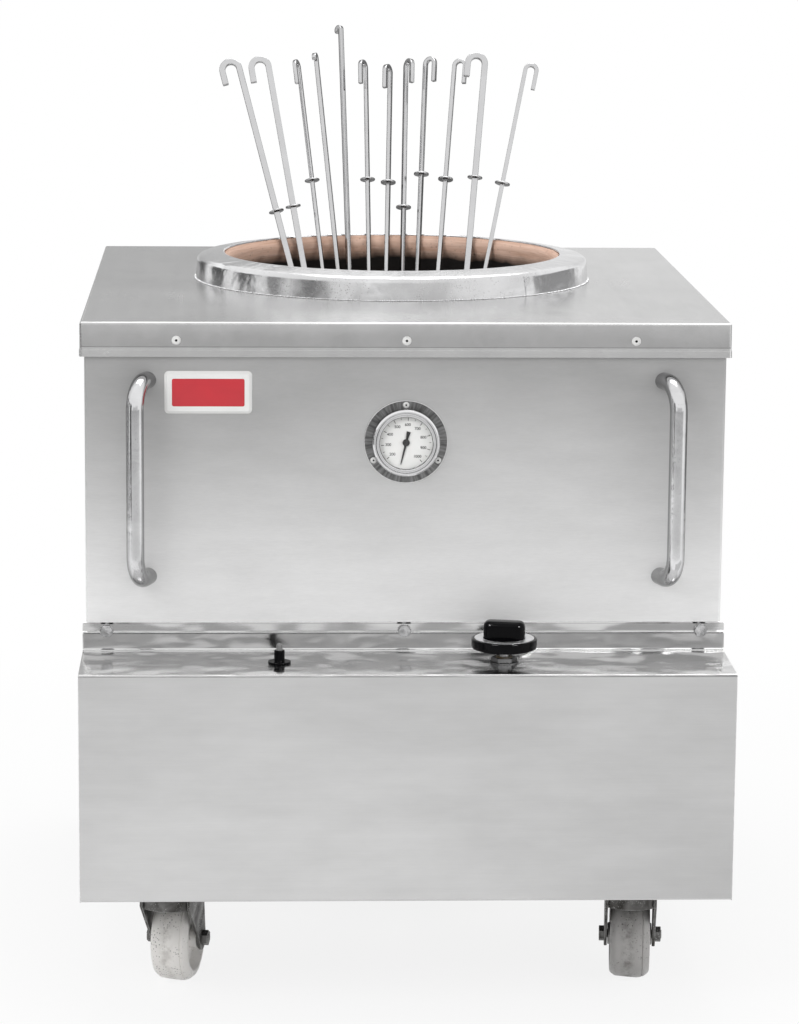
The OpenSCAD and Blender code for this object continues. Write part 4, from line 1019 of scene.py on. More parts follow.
class RepeatTrees:
    """Geometry node trees that lay out repeated pieces."""

    def __init__(self) -> None:
        """Builds the trees."""
        self.fasteners = self._fasteners()
        self.weld = self._weld()
        self.ticks = self._ticks()

    @staticmethod
    def _start(name: str, inputs: dict[str, str]) -> tuple[NodeSheet, dict, dict]:
        """Opens a tree with a geometry output.

        Args:
            name: The tree's name.
            inputs: Input name to socket type.

        Returns:
            The sheet, the input sockets and the identifiers of the inputs.
        """
        tree = bpy.data.node_groups.new(name, "GeometryNodeTree")
        ids = {}
        for label, kind in inputs.items():
            socket = tree.interface.new_socket(name=label, in_out="INPUT", socket_type=kind)
            ids[label] = socket.identifier
        tree.interface.new_socket(name="Geometry", in_out="OUTPUT",
                                  socket_type="NodeSocketGeometry")
        sheet = NodeSheet(tree)
        entry = sheet.add("NodeGroupInput")
        return sheet, {k: entry.outputs[k] for k in inputs}, ids

    @staticmethod
    def _end(sheet: NodeSheet, geometry: Socket,
             material: Socket) -> None:
        """Closes a tree: instances made real, then the material.

        Args:
            sheet: The tree's sheet.
            geometry: The laid-out instances.
            material: The material input.
        """
        real = sheet.add("GeometryNodeRealizeInstances", {0: geometry})
        dressed = sheet.add("GeometryNodeSetMaterial", {"Geometry": real.outputs[0],
                                                        "Material": material})
        sheet.add("NodeGroupOutput", {0: dressed.outputs[0]})

    def _fasteners(self) -> tuple[NodeTree, dict]:
        """One fastener on each point, turned to the point's own direction."""
        s, given, ids = self._start("fasteners", {
            "Geometry": "NodeSocketGeometry", "Fastener": "NodeSocketObject",
            "Seed": "NodeSocketInt", "Material": "NodeSocketMaterial"})
        shape = s.add("GeometryNodeObjectInfo", {"Object": given["Fastener"]})
        way = s.add("GeometryNodeInputNamedAttribute", {"Name": "way"},
                    data_type="FLOAT_VECTOR")
        aim = s.add("FunctionNodeAlignRotationToVector", {"Vector": way.outputs[0]}, axis="Z")
        spin = s.add("FunctionNodeRandomValue", {
            "Min": (0.0, 0.0, 0.0), "Max": (0.0, 0.0, math.tau), "Seed": given["Seed"]},
            data_type="FLOAT_VECTOR")
        turn = s.add("FunctionNodeEulerToRotation", {0: spin.outputs[0]})
        both = s.add("FunctionNodeRotateRotation", {"Rotation": aim.outputs[0],
                                                    "Rotate By": turn.outputs[0]},
                     rotation_space="LOCAL")
        points = s.add("GeometryNodeInstanceOnPoints", {
            "Points": given["Geometry"], "Instance": shape.outputs["Geometry"],
            "Rotation": both.outputs[0]})
        self._end(s, points.outputs[0], given["Material"])
        return s.tree, ids

    def _weld(self) -> tuple[NodeTree, dict]:
        """A bead of small overlapping lumps along the path that is given."""
        s, given, ids = self._start("weld_bead", {
            "Geometry": "NodeSocketGeometry", "Step": "NodeSocketFloat",
            "Size": "NodeSocketFloat", "Seed": "NodeSocketInt",
            "Material": "NodeSocketMaterial"})
        path = s.add("GeometryNodeMeshToCurve", {0: given["Geometry"]})
        points = s.add("GeometryNodeCurveToPoints", {"Curve": path.outputs[0],
                                                     "Length": given["Step"]}, mode="LENGTH")
        lump = s.add("GeometryNodeMeshIcoSphere", {"Radius": given["Size"], "Subdivisions": 2})
        size = s.add("FunctionNodeRandomValue", {
            "Min": (0.75, 0.75, 0.5), "Max": (1.3, 1.3, 1.05), "Seed": given["Seed"]},
            data_type="FLOAT_VECTOR")
        laid = s.add("GeometryNodeInstanceOnPoints", {
            "Points": points.outputs["Points"], "Instance": lump.outputs[0],
            "Scale": size.outputs[0]})
        smooth = s.add("GeometryNodeSetShadeSmooth", {"Geometry": laid.outputs[0]})
        self._end(s, smooth.outputs[0], given["Material"])
        return s.tree, ids

    def _ticks(self) -> tuple[NodeTree, dict]:
        """Marks on an arc of a dial, in the xy plane, angles clockwise from +Y."""
        s, given, ids = self._start("dial_ticks", {
            "Count": "NodeSocketInt", "From": "NodeSocketFloat", "To": "NodeSocketFloat",
            "Radius": "NodeSocketFloat", "Width": "NodeSocketFloat",
            "Length": "NodeSocketFloat", "Material": "NodeSocketMaterial"})
        index = s.add("GeometryNodeInputIndex").outputs[0]
        share = s.math("DIVIDE", index, s.math("SUBTRACT", given["Count"], 1.0))
        sweep = s.math("MULTIPLY", s.math("SUBTRACT", given["To"], given["From"]), share)
        angle = s.math("ADD", given["From"], sweep)
        x = s.math("MULTIPLY", s.math("SINE", angle), given["Radius"])
        y = s.math("MULTIPLY", s.math("COSINE", angle), given["Radius"])
        spot = s.add("ShaderNodeCombineXYZ", {0: x, 1: y})
        points = s.add("GeometryNodePoints", {"Count": given["Count"],
                                              "Position": spot.outputs[0]})
        mark = s.add("GeometryNodeMeshGrid", {"Size X": given["Width"],
                                              "Size Y": given["Length"],
                                              "Vertices X": 2, "Vertices Y": 2})
        euler = s.add("ShaderNodeCombineXYZ", {2: s.math("MULTIPLY", angle, -1.0)})
        turn = s.add("FunctionNodeEulerToRotation", {0: euler.outputs[0]})
        laid = s.add("GeometryNodeInstanceOnPoints", {
            "Points": points.outputs[0], "Instance": mark.outputs[0],
            "Rotation": turn.outputs[0]})
        self._end(s, laid.outputs[0], given["Material"])
        return s.tree, ids

    @staticmethod
    def grow(base: Piece, made: tuple[NodeTree, dict],
             values: dict[str, object]) -> Piece:
        """Runs a tree on an object and keeps the result as its plain mesh.

        Args:
            base: The object that carries the tree's input mesh.
            made: The tree and its input identifiers.
            values: Input values by name.

        Returns:
            The same object with the new mesh.
        """
        tree, ids = made
        modifier = base.modifiers.new("repeat", "NODES")
        modifier.node_group = tree
        for label, value in values.items():
            modifier[ids[label]] = value
        settle(base)
        return base


def scattered(name: str, spots: Spots) -> Piece:
    """Makes a mesh of loose points that each hold a direction.

    Args:
        name: The object's name.
        spots: Place and direction of each point.

    Returns:
        The object.
    """
    mesh = bpy.data.meshes.new(name)
    mesh.from_pydata([tuple(place) for place, way in spots], [], [])
    ways = mesh.attributes.new("way", "FLOAT_VECTOR", "POINT")
    ways.data.foreach_set("vector", [part for place, way in spots for part in way])
    return placed(name, mesh)


def path_object(name: str, points: list[Vector], ring: bool = False) -> Piece:
    """Makes a mesh of edges along a path.

    Args:
        name: The object's name.
        points: The path's points.
        ring: Whether the path closes.

    Returns:
        The object.
    """
    edges = [(i, i + 1) for i in range(len(points) - 1)]
    if ring:
        edges.append((len(points) - 1, 0))
    mesh = bpy.data.meshes.new(name)
    mesh.from_pydata([tuple(p) for p in points], edges, [])
    return placed(name, mesh)


# ---- Sub-assemblies ---------------------------------------------------------------


@dataclass
class Cabinet:
    """Walls, front panel, lid, control box, and what fastens them."""

    shop: Workshop
    trees: RepeatTrees
    rivet_head: float = 6.0 * MM
    rivet_rise: float = 2.4 * MM
    rivet_end: float = 128 * MM
    rivet_seat: float = 0.8 * MM
    ledge_fold: float = 0.469
    box_folds: tuple[float, ...] = (0.4725, 0.4965, 0.5095)
    hem_height: float = 13 * MM

    def build(self) -> None:
        """Makes the cabinet's pieces."""
        panel = SheetSteel(rough=0.42, metal=0.8).build("panel_steel")
        low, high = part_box("front_panel")
        # The front panel is painted brighter towards its foot as a painted light gradient.
        front = SheetSteel(tone=0.47, foot_tone=0.96, foot_z=low.z + 0.02,
                           head_z=high.z - 0.07, grain=Grain.DASHED, rough=0.56, metal=0.66,
                           streak=0.03, wave=0.0008).build("front_steel")
        hem_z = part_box("lid")[0].z + self.hem_height
        # The deck's hem crease is painted dark as painted shade, and its hem is painted lighter.
        deck = SheetSteel(tone=0.62, rough=0.20, grain=Grain.FRONT_TO_BACK, streak=0.04,
                          wave=0.0010, wave_size=4.0, hem_z=hem_z).build("deck_steel")
        # The box's sharp edges and fold lines are painted lighter as painted highlights.
        box = SheetSteel(tone=0.64, rough=0.38, grain=Grain.ACROSS, metal=0.8,
                         shiny_from=self.ledge_fold, shiny_wave=10.0, edge_highlight_gain=0.34,
                         edge_width=2.2 * MM, folds=self.box_folds).build("box_steel")
        for node, name, finish in (
                ("cabinet_shell", "cabinet_walls", panel),
                ("front_panel", "upper_front_panel", front),
                ("lid", "deck_and_skirt", deck),
                ("control_box", "burner_box", box)):
            self.shop.refine(node, name, finish, edge=0.35)
        # The near-black dirt share on the bolt heads is painted shade on their flats.
        bright = BrightSteel(tone=0.80, rough=0.14, dirt=(0.05, 0.05, 0.05), dirt_share=0.6,
                             cloud_size=110.0, wave=0.0006, soft=1.6 * MM,
                             edge_shade=0.9).build("bolt_steel")
        self.shop.refine("flange_bolts", "flange_hex_bolts", bright, edge=0.6)
        self.rivets()

    def rivets(self) -> None:
        """Sets blind rivets round the lid's skirt."""
        low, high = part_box("lid")
        low_r, high_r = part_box("lid_rivets")
        z = (low_r.z + high_r.z) / 2
        middle = (low + high) / 2
        sunk = self.rivet_seat
        spots = []
        for k in (-1, 0, 1):
            x = middle.x + k * (high.x - middle.x - self.rivet_end)
            y = middle.y + k * (high.y - middle.y - self.rivet_end)
            spots += [
                (Vector((x, low.y + sunk, z)), Vector((0, -1, 0))),
                (Vector((x, high.y - sunk, z)), Vector((0, 1, 0))),
                (Vector((low.x + sunk, y, z)), Vector((-1, 0, 0))),
                (Vector((high.x - sunk, y, z)), Vector((1, 0, 0)))]
        white = Enamel(colour=(0.80, 0.80, 0.79), shade=(0.35, 0.34, 0.33), rough=0.35,
                       dust=0.25).build("rivet_paint")
        set_rivets(self.shop, self.trees, "lid_rivets", "skirt_rivets", spots,
                   self.rivet_head, self.rivet_rise, white, 3)


def set_rivets(shop: Workshop, trees: RepeatTrees, node: str, name: str,
               spots: Spots, radius: float, rise: float, paint: Material,
               seed: int) -> None:
    """Sets blind rivets: low domes, each with a dark disc sunk in its hole as painted shade.

    Args:
        shop: The workshop.
        trees: The repeat trees.
        node: The CAD node of the rivets.
        name: The name of the piece that holds the heads.
        spots: Place and direction of each rivet.
        radius: Radius of the heads.
        rise: Height of the heads.
        paint: The heads' material.
        seed: Seed of the turn that each head is given.
    """
    # Near-black discs in the rivet holes: painted shade where the holes are deep.
    dark = Enamel(colour=(0.012, 0.012, 0.012), shade=SHADOW, rough=0.8, gloss=0.1,
                  dust=0.3).build(f"{node}_pin_shade")
    hole = radius * 0.27
    hole_shade_radius = radius * 0.30
    head = [(0.0, -radius * 0.4), (radius * 0.4, -radius * 0.4), (radius * 0.4, 0.0),
            (radius * 0.97, 0.0), (radius, rise * 0.22), (radius * 0.86, rise * 0.62),
            (radius * 0.62, rise * 0.90), (radius * 0.42, rise),
            (hole * 1.15, rise * 0.96), (hole, rise * 0.7), (hole * 0.9, -rise * 0.6),
            (hole * 0.6, -rise * 0.35), (0.0, -rise * 0.25)]
    end = [(0.0, 0.0), (hole_shade_radius, 0.0), (hole_shade_radius, rise * 0.72), (0.0, rise * 0.66)]
    for piece, profile, steps, material, turn, stands_in in (
            (name, head, 32, paint, seed, True),
            (f"{node}_pins", end, 24, dark, 3, False)):
        pattern = solid(lathe(profile, Matrix(), steps, closed=False), f"{piece}_pattern",
                        material)
        laid = scattered(piece, spots)
        trees.grow(laid, trees.fasteners, {"Fastener": pattern, "Seed": turn,
                                           "Material": material})
        bpy.data.objects.remove(pattern)
        shop.mount(laid, node, stands_in=stands_in)


@dataclass
class MouthCollar:
    """The pressed ring round the mouth and its welds."""

    shop: Workshop
    trees: RepeatTrees
    wall_radius: float = 285 * MM
    mouth_radius: float = 243 * MM
    wall_height: float = 32 * MM
    height: float = 38 * MM
    lip_depth: float = 8 * MM
    thickness: float = 2.0 * MM
    crown: float = 10.0 * MM
    painted_light_height: float = 3.0 * MM
    wobble: float = 0.5 * MM
    dents: int = 96
    dent_depth: float = 0.10 * MM
    dented_from: float = -56.0
    dented_to: float = -8.0
    seam_angle: float = -51.0

    def build(self) -> None:
        """Makes the collar, its foot weld and its upright seam."""
        steel = BrightSteel(tone=0.88, rough=0.12, dirt=(0.22, 0.215, 0.21), dirt_share=0.42,
                            wave=0.0022, cloud_size=8.0).build("collar_polish")
        low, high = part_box("mouth_collar")
        centre = (low + high) / 2
        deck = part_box("lid")[1].z
        outer = self.wall_radius
        inner = self.mouth_radius
        wall_top = deck + self.wall_height
        edge_top = deck + self.height
        lip = edge_top - self.lip_depth
        t = self.thickness
        top = outer - self.painted_light_height
        outside = rounded([(outer, deck), (top, wall_top), (inner, edge_top), (inner, lip)],
                          [0, self.crown, 2.4 * MM, 0], 8)
        inside = rounded([(inner + t, lip), (inner + t, edge_top - t),
                          (top - t, wall_top - t), (outer - t, deck)],
                         [0, 0.6 * MM, self.crown - t, 0], 8)

        def warp(r: float, z: float, angle: float) -> tuple[float, float]:
            """Gives the ring the unevenness of hand forming.

            Args:
                r: Radius.
                z: Height.
                angle: Angle round the ring.

            Returns:
                The changed radius and height.
            """
            where = Vector((math.cos(angle) * 2.2, math.sin(angle) * 2.2, z * 9))
            push = noise.noise(where * 2.4) * self.wobble
            share = min(1.0, max(0.0, (z - deck) / (20 * MM)))
            bend = math.degrees(angle) - 360 if angle > math.pi else math.degrees(angle)
            edge = (min(1.0, max(0.0, (bend - self.dented_from) / 8))
                    * min(1.0, max(0.0, (self.dented_to - bend) / 8)))
            dent = math.sin(angle * self.dents) * self.dent_depth * edge * share
            return r + push * share + dent, z + push * 0.6 * share

        place = Matrix.Translation((centre.x, centre.y, 0))
        ring = solid(lathe(outside + inside, place, 360, warp=warp), "pot_collar", steel)
        self.shop.mount(ring, "mouth_collar")
        bead = BrightSteel(tone=0.80, rough=0.2, wave=0.0004).build("weld_steel")
        foot_radius = outer + 0.6 * MM
        foot = [Vector((centre.x + foot_radius * math.cos(a * math.tau / 240),
                        centre.y + foot_radius * math.sin(a * math.tau / 240),
                        deck + 0.5 * MM)) for a in range(240)]
        at = math.radians(self.seam_angle)
        seam_radius = outer + 0.05 * MM
        seam = [Vector((centre.x + seam_radius * math.cos(at),
                        centre.y + seam_radius * math.sin(at), deck + z * MM))
                for z in range(2, 30)]
        for name, points, closes, step, size, seed in (
                ("collar_weld", foot, True, 2.4 * MM, 1.4 * MM, 7),
                ("collar_seam", seam, False, 1.5 * MM, 0.9 * MM, 11)):
            weld = path_object(name, points, closes)
            self.trees.grow(weld, self.trees.weld, {
                "Step": step, "Size": size, "Seed": seed, "Material": bead})
            self.shop.mount(weld, "mouth_collar", stands_in=False)


@dataclass
class PotAndHearth:
    """The clay pot, what carries it and what heats it."""

    shop: Workshop

    def build(self) -> None:
        """Makes the pot and dresses the hidden parts."""
        clay = FiredClay().build("fired_clay")
        self.shop.refine("clay_pot", "clay_pot_body", clay, edge=0.0)
        fibre = Enamel(colour=(0.74, 0.70, 0.60), shade=(0.55, 0.50, 0.42), rough=0.9,
                       dust=0.6, relief_depth=0.001).build("insulation_fibre")
        iron = Enamel(colour=(0.075, 0.068, 0.062), shade=(0.20, 0.11, 0.07), rough=0.7,
                      dust=0.6, relief_depth=0.0004).build("burnt_iron")
        paint = Enamel(colour=(0.17, 0.17, 0.18), shade=(0.28, 0.26, 0.24), rough=0.55,
                       dust=0.4, relief_depth=0.0002).build("frame_paint")
        brass = BrightSteel(tone=0.5, rough=0.3, dirt=(0.45, 0.30, 0.10),
                            dirt_share=0.9).build("gas_brass")
        plain = BrightSteel(tone=0.6, rough=0.25).build("plain_steel")
        self.shop.dress("insulation", fibre)
        for node, name, finish in (
                ("pot_shelf", "shelf_under_pot", paint), ("base_frame", "angle_frame", paint),
                ("burner", "ring_burner", iron), ("heat_spreader", "spreader_plate", iron),
                ("gas_valve", "gas_cock", brass), ("valve_spindle", "cock_spindle", plain),
                ("supply_pipe", "pipe_from_inlet", brass),
                ("burner_pipe", "pipe_to_jet", brass),
                ("gas_inlet", "inlet_nipple", brass), ("pilot", "pilot_and_electrode", plain),
                ("thermometer_probe", "gauge_probe", plain),
                ("handle_screws", "handle_fixings", plain)):
            self.shop.refine(node, name, finish, edge=0.25)


@dataclass
class Handles:
    """The two tubular handles."""

    shop: Workshop

    def build(self) -> None:
        """Polishes both handles."""
        tube = BrightSteel(tone=0.78, rough=0.09, dirt=(0.12, 0.12, 0.12), dirt_share=0.18,
                           wave=0.0003, edge_shade=0.6).build("handle_polish")
        for side in ("left", "right"):
            self.shop.refine(f"{side}_handle", f"{side}_tube_handle", tube, edge=0.0)


@dataclass
class Badge:
    """A bare white plate with a blank red field."""

    shop: Workshop
    border: float = 10.0 * MM
    slack: float = 0.1 * MM
    recess: float = 0.8 * MM
    bevel: float = 3.2 * MM
    corner: float = 6.0 * MM
    inner_corner: float = 2.5 * MM

    def build(self) -> None:
        """Makes the plate and the field in its recess."""
        white = Enamel(colour=(0.80, 0.80, 0.79), shade=(0.62, 0.62, 0.60), rough=0.28,
                       coat=0.4, dust=0.15).build("badge_enamel")
        red = Enamel(colour=(0.56, 0.020, 0.032), shade=(0.36, 0.02, 0.03), rough=0.3,
                     coat=0.5, dust=0.18).build("badge_red_enamel")
        low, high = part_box("badge_plate")
        floor = low.y + self.recess
        bevel = self.bevel
        place = (Matrix.Translation(((low.x + high.x) / 2, 0, (low.z + high.z) / 2))
                 @ Matrix.Rotation(math.pi / 2, 4, "X"))
        size = (high.x - low.x, high.z - low.z)
        surround = stacked(size, self.corner, self.inner_corner, [
            (-high.y, 0.0), (-low.y - bevel, 0.0), (-low.y - 0.35 * bevel, 0.75 * bevel),
            (-low.y, 1.2 * bevel), (-low.y, self.border - 0.4 * MM),
            (-low.y - 0.3 * MM, self.border), (-floor, self.border)], place)
        self.shop.mount(solid(surround, "badge_surround", white), "badge_plate")
        front = low.y + 0.35 * MM
        inset = self.border + self.slack
        field = stacked(size, self.corner, self.inner_corner, [
            (-floor, inset), (-front - 0.25 * MM, inset),
            (-front - 0.06 * MM, inset + 0.25 * MM), (-front, inset + 0.7 * MM)], place)
        self.shop.mount(solid(field, "badge_field", red), "badge_plate", stands_in=False)


@dataclass
class Thermometer:
    """The dial thermometer with its flange, bezel, print, pointer and glass."""

    shop: Workshop
    trees: RepeatTrees
    first: float = -131.0
    last: float = 141.0
    low_number: int = 200
    high_number: int = 1000
    tick_outer: float = 33.5 * MM
    number_radius: float = 24.0 * MM
    number_height: float = 4.0 * MM
    bezel_inner: float = 35.0 * MM
    bezel_outer: float = 45.0 * MM
    rivet_circle: float = 49.5 * MM
    rivet_head: float = 4.3 * MM
    rivet_rise: float = 1.8 * MM

    def build(self) -> None:
        """Makes the thermometer's pieces."""
        low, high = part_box("thermometer_case")
        centre = tuple((low + high) / 2)
        polish = TurnedSteel(centre=centre).build("bezel_polish")
        face = Enamel(colour=(0.62, 0.62, 0.61), shade=(0.62, 0.62, 0.60), rough=0.5,
                      dust=0.15).build("dial_paint")
        ink = Enamel(colour=(0.020, 0.020, 0.020), shade=(0.06, 0.06, 0.06), rough=0.5,
                     dust=0.3).build("dial_ink")
        self.shop.refine("thermometer_case", "gauge_case", polish, edge=0.5)
        chrome = BrightSteel(tone=0.84, rough=0.07, dirt_share=0.06,
                             edge_shade=0.85).build("bezel_chrome")
        inner, outer = self.bezel_inner, self.bezel_outer
        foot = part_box("thermometer_screws")[0].y + 1.6 * MM - low.y
        rise = 0.6 * MM
        # Radius and height over the case's front, from the flange up and in to the glass
        ring = rounded([(outer, -foot), (outer, -1.5 * MM), (outer - 2.5 * MM, rise),
                        (outer - 4.2 * MM, rise), (outer - 5.0 * MM, -0.8 * MM),
                        (outer - 6.0 * MM, rise * 0.7), (inner + 1.0 * MM, rise * 0.7),
                        (inner, -2.5 * MM), (inner + 0.8 * MM, -foot)],
                       [0, 1.5 * MM, 1.5 * MM, 0.6 * MM, 0.5 * MM, 0.6 * MM, 1.2 * MM, 0.3 * MM], 4)
        place = facing((centre[0], low.y, centre[2]), (0.0, -1.0, 0.0))
        self.shop.mount(solid(lathe(ring, place, 128), "gauge_bezel", chrome),
                        "thermometer_case", stands_in=False)
        self.shop.dress("thermometer_dial", face)
        self.shop.refine("thermometer_pointer", "gauge_pointer", ink, edge=0.15)
        self.shop.dress("thermometer_lens", ClearGlass().build("gauge_glass"))
        self.screws()
        self.print_dial(ink)

    def screws(self) -> None:
        """Sets the flange's three round-headed rivets."""
        white = Enamel(colour=(0.80, 0.80, 0.79), shade=(0.30, 0.30, 0.29), rough=0.35,
                       dust=0.3).build("gauge_rivet_paint")
        low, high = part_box("thermometer_case")
        centre = (low + high) / 2
        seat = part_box("thermometer_screws")[0].y + self.rivet_rise
        spots = [(Vector((centre.x + self.rivet_circle * math.sin(a), seat,
                          centre.z + self.rivet_circle * math.cos(a))), Vector((0, -1, 0)))
                 for a in (math.tau * k / 3 for k in range(3))]
        set_rivets(self.shop, self.trees, "thermometer_screws", "gauge_rivets", spots,
                   self.rivet_head, self.rivet_rise, white, 5)

    def print_dial(self, ink: Material) -> None:
        """Prints the ticks and the numbers on the dial.

        Args:
            ink: The print's material.
        """
        low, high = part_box("thermometer_dial")
        centre = (low + high) / 2
        place = (Matrix.Translation((centre.x, low.y - 0.05 * MM, centre.z))
                 @ Matrix.Rotation(math.pi / 2, 4, "X"))
        steps = (self.high_number - self.low_number) // 100
        bm = bmesh.new()
        for count, length, width in ((steps + 1, 4.2, 0.85), (2 * steps + 1, 2.6, 0.65)):
            marks = path_object("tick_marks", [Vector()])
            self.trees.grow(marks, self.trees.ticks, {
                "Count": count, "From": math.radians(self.first),
                "To": math.radians(self.last), "Radius": self.tick_outer - length * MM / 2,
                "Width": width * MM, "Length": length * MM, "Material": ink})
            bm.from_mesh(marks.data)
            bpy.data.objects.remove(marks)
        for k in range(steps + 1):
            angle = math.radians(self.first + (self.last - self.first) * k / steps)
            self.number(bm, str(self.low_number + 100 * k), self.number_height,
                        self.number_radius * math.sin(angle),
                        self.number_radius * math.cos(angle))
        bmesh.ops.transform(bm, matrix=place, verts=bm.verts)
        mesh = bpy.data.meshes.new("dial_print")
        bm.to_mesh(mesh)
        bm.free()
        mesh.materials.clear()
        mesh.materials.append(ink)
        self.shop.mount(placed("dial_print", mesh), "thermometer_dial", stands_in=False)

    @staticmethod
    def number(bm: BMesh, words: str, height: float, x: float, y: float) -> None:
        """Adds a number to a flat print.

        Args:
            bm: The print's mesh, in the xy plane.
            words: The digits.
            height: Height of the digits.
            x: Middle of the number across.
            y: Middle of the number upward.
        """
        curve = bpy.data.curves.new("digits", "FONT")
        curve.body = words
        curve.size = height * 1.35
        curve.offset = 0.1 * MM
        curve.align_x = "CENTER"
        curve.align_y = "CENTER"
        holder = placed("digits", curve)
        bpy.context.view_layer.update()
        graph = bpy.context.evaluated_depsgraph_get()
        mesh = bpy.data.meshes.new_from_object(holder.evaluated_get(graph))
        mesh.transform(Matrix.Translation((x, y, 0)))
        bm.from_mesh(mesh)
        bpy.data.objects.remove(holder)
        bpy.data.meshes.remove(mesh)


@dataclass
class FrontControls:
    """The gas knob and the igniter on the ledge."""

    shop: Workshop
    skirt_height: float = 14 * MM
    groove_radius: float = 39.6 * MM
    bore: float = 9 * MM
    grip_length: float = 55 * MM
    grip_width: float = 27 * MM
    grip_corner: float = 11 * MM
    grip_crown: float = 7 * MM
    grip_turn: float = -12.0

    def build(self) -> None:
        """Makes the knob and the igniter."""
        black = Enamel(colour=(0.002, 0.002, 0.0025), shade=(0.008, 0.008, 0.009), rough=0.06,
                       gloss=0.09, dust=0.2, relief_depth=0.0,
                       rough_spread=0.04).build("knob_gloss")
        ring = BrightSteel(tone=0.92, rough=0.30, dirt_share=0.08).build("knob_ring_steel")
        nut = BrightSteel(tone=0.42, rough=0.18, dirt=(0.05, 0.05, 0.05), dirt_share=0.5,
                          soft=0.8 * MM, edge_shade=0.9).build("nut_steel")
        grey = Enamel(colour=(0.16, 0.16, 0.16), shade=(0.3, 0.3, 0.3), rough=0.4,
                      dust=0.4).build("button_grey_plastic")
        self.knob(black)
        self.shop.refine("knob_ring", "knob_face_ring", ring, edge=0.2)
        self.shop.refine("valve_nut", "cock_nut", nut, edge=0.4)
        self.shop.refine("igniter_body", "igniter_housing", black, edge=0.5)
        self.shop.refine("igniter_button", "igniter_push", grey, edge=0.4)

    def knob(self, black: Material) -> None:
        """Makes the knob: a skirt with a groove for the ring, and a softly rounded grip.

        Args:
            black: The knob's material.
        """
        low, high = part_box("control_knob")
        radius = (high.x - low.x) / 2
        top = self.skirt_height
        floor = top - 1 * MM
        middle = Vector(((low.x + high.x) / 2, (low.y + high.y) / 2, low.z))
        place = Matrix.Translation(middle) @ Matrix.Rotation(math.radians(self.grip_turn), 4, "Z")
        skirt = rounded([(self.bore, floor), (self.bore, 0.0), (radius, 0.0), (radius, top),
                         (self.groove_radius, top), (self.groove_radius, floor)],
                        [0, 0, 4.2 * MM, 5.0 * MM, 0.5 * MM], 6)
        bm = lathe(skirt, place, 128)
        rise = high.z - low.z
        bend = self.grip_crown
        crown = [(rise - bend * (1 - math.sin(a)), bend * (1 - math.cos(a)))
                 for a in (math.radians(90 * k / 6) for k in range(7))]
        grip = stacked((self.grip_length, self.grip_width), self.grip_corner, 4 * MM,
                       [(floor, 0.0), *crown], place)
        mesh = bpy.data.meshes.new("grip")
        grip.to_mesh(mesh)
        grip.free()
        bm.from_mesh(mesh)
        bpy.data.meshes.remove(mesh)
        self.shop.mount(solid(bm, "gas_knob", black, smooth=40.0), "control_knob")


@dataclass
class Caster:
    """One swivel caster: its fork, its axle bolt and its wheel."""

    shop: Workshop
    place: str
    metal: Material
    colour: Rgb
    dirt: Rgb
    dirt_share: float
    hub_side: float = 2.9 * MM

    def build(self) -> None:
        """Makes the caster's pieces."""
        self.shop.refine(f"fork_{self.place}", f"caster_fork_{self.place}", self.metal, 0.5)
        self.shop.refine(f"axle_{self.place}", f"caster_axle_{self.place}", self.metal, 0.5)
        node = f"wheel_{self.place}"
        low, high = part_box(node)
        axle = self.shop.axis[f"roll_{self.place}"]
        centre = (low + high) / 2
        finish = WornTread(colour=self.colour, dirt=self.dirt, centre=tuple(centre),
                           axle=tuple(axle), dirt_share=self.dirt_share)
        material = finish.build(f"wheel_surface_{self.place}")
        radius = (high.z - low.z) / 2
        half = (high.x - low.x - 2 * radius * abs(axle.y)) / (2 * axle.x)
        hub = half + self.hub_side
        # Radius and place along the axle, from the bore out and round to the other side
        right = [(6.06 * MM, hub), (15 * MM, hub), (16.5 * MM, 18 * MM),
                 (36 * MM, 14 * MM), (41 * MM, 20 * MM), (46 * MM, half)]
        tread = [(radius - 8 * MM, half), (radius - 2.2 * MM, half - 7 * MM)]
        seam = [(radius - 1.6 * MM, half - 9.4 * MM), (radius - 2.3 * MM, half - 9.9 * MM),
                (radius - 0.9 * MM, half - 10.6 * MM), (radius, half - 17 * MM)]
        left_tread = [(r, -z) for r, z in reversed(tread)]
        left = [(r, -z) for r, z in reversed(right)]
        profile = rounded(right + tread + seam + left_tread + left,
                          [0, 1.5 * MM, 2.5 * MM, 3 * MM, 4 * MM, 3 * MM, 6 * MM, 4 * MM,
                           0, 0, 0, 12 * MM, 9 * MM, 6 * MM, 3 * MM, 4 * MM, 3 * MM,
                           2.5 * MM, 1.5 * MM], 4)
        bm = lathe(profile, facing(tuple(centre), tuple(axle)), 96)
        self.shop.mount(solid(bm, f"caster_wheel_{self.place}", material), node)


@dataclass
class CasterSet:
    """All four casters and what bolts them to the frame."""

    shop: Workshop
    white: Rgb = (0.95, 0.93, 0.90)
    grey: Rgb = (0.47, 0.46, 0.45)
    white_dirt: Rgb = (0.40, 0.37, 0.34)
    grey_dirt: Rgb = (0.16, 0.15, 0.14)

    def build(self) -> None:
        """Makes the four casters."""
        zinc = DullZinc().build("fork_zinc")
        for end in ("front", "rear"):
            Caster(self.shop, f"{end}_left", zinc, self.white, self.white_dirt, 0.55).build()
            Caster(self.shop, f"{end}_right", zinc, self.grey, self.grey_dirt, 0.75).build()
        self.shop.refine("caster_plates", "caster_top_plates", zinc, edge=0.4)
        self.shop.refine("caster_bolts", "caster_plate_bolts", zinc, edge=0.4)


@dataclass
class Skewers:
    """The hooked skewers that stand in the pot."""

    shop: Workshop
    count: int = 12

    def build(self) -> None:
        """Makes every skewer."""
        steel = BrightSteel(tone=0.66, rough=0.14, dirt=(0.25, 0.245, 0.24), dirt_share=0.12,
                            wave=0.00001, soft=2.6 * MM, edge_shade=0.95,
                            flat_shade=0.9).build("skewer_bar")
        for number in range(1, self.count + 1):
            self.shop.refine(f"skewer_{number}", f"hooked_skewer_{number}", steel, edge=1.2,
                             angle=50)


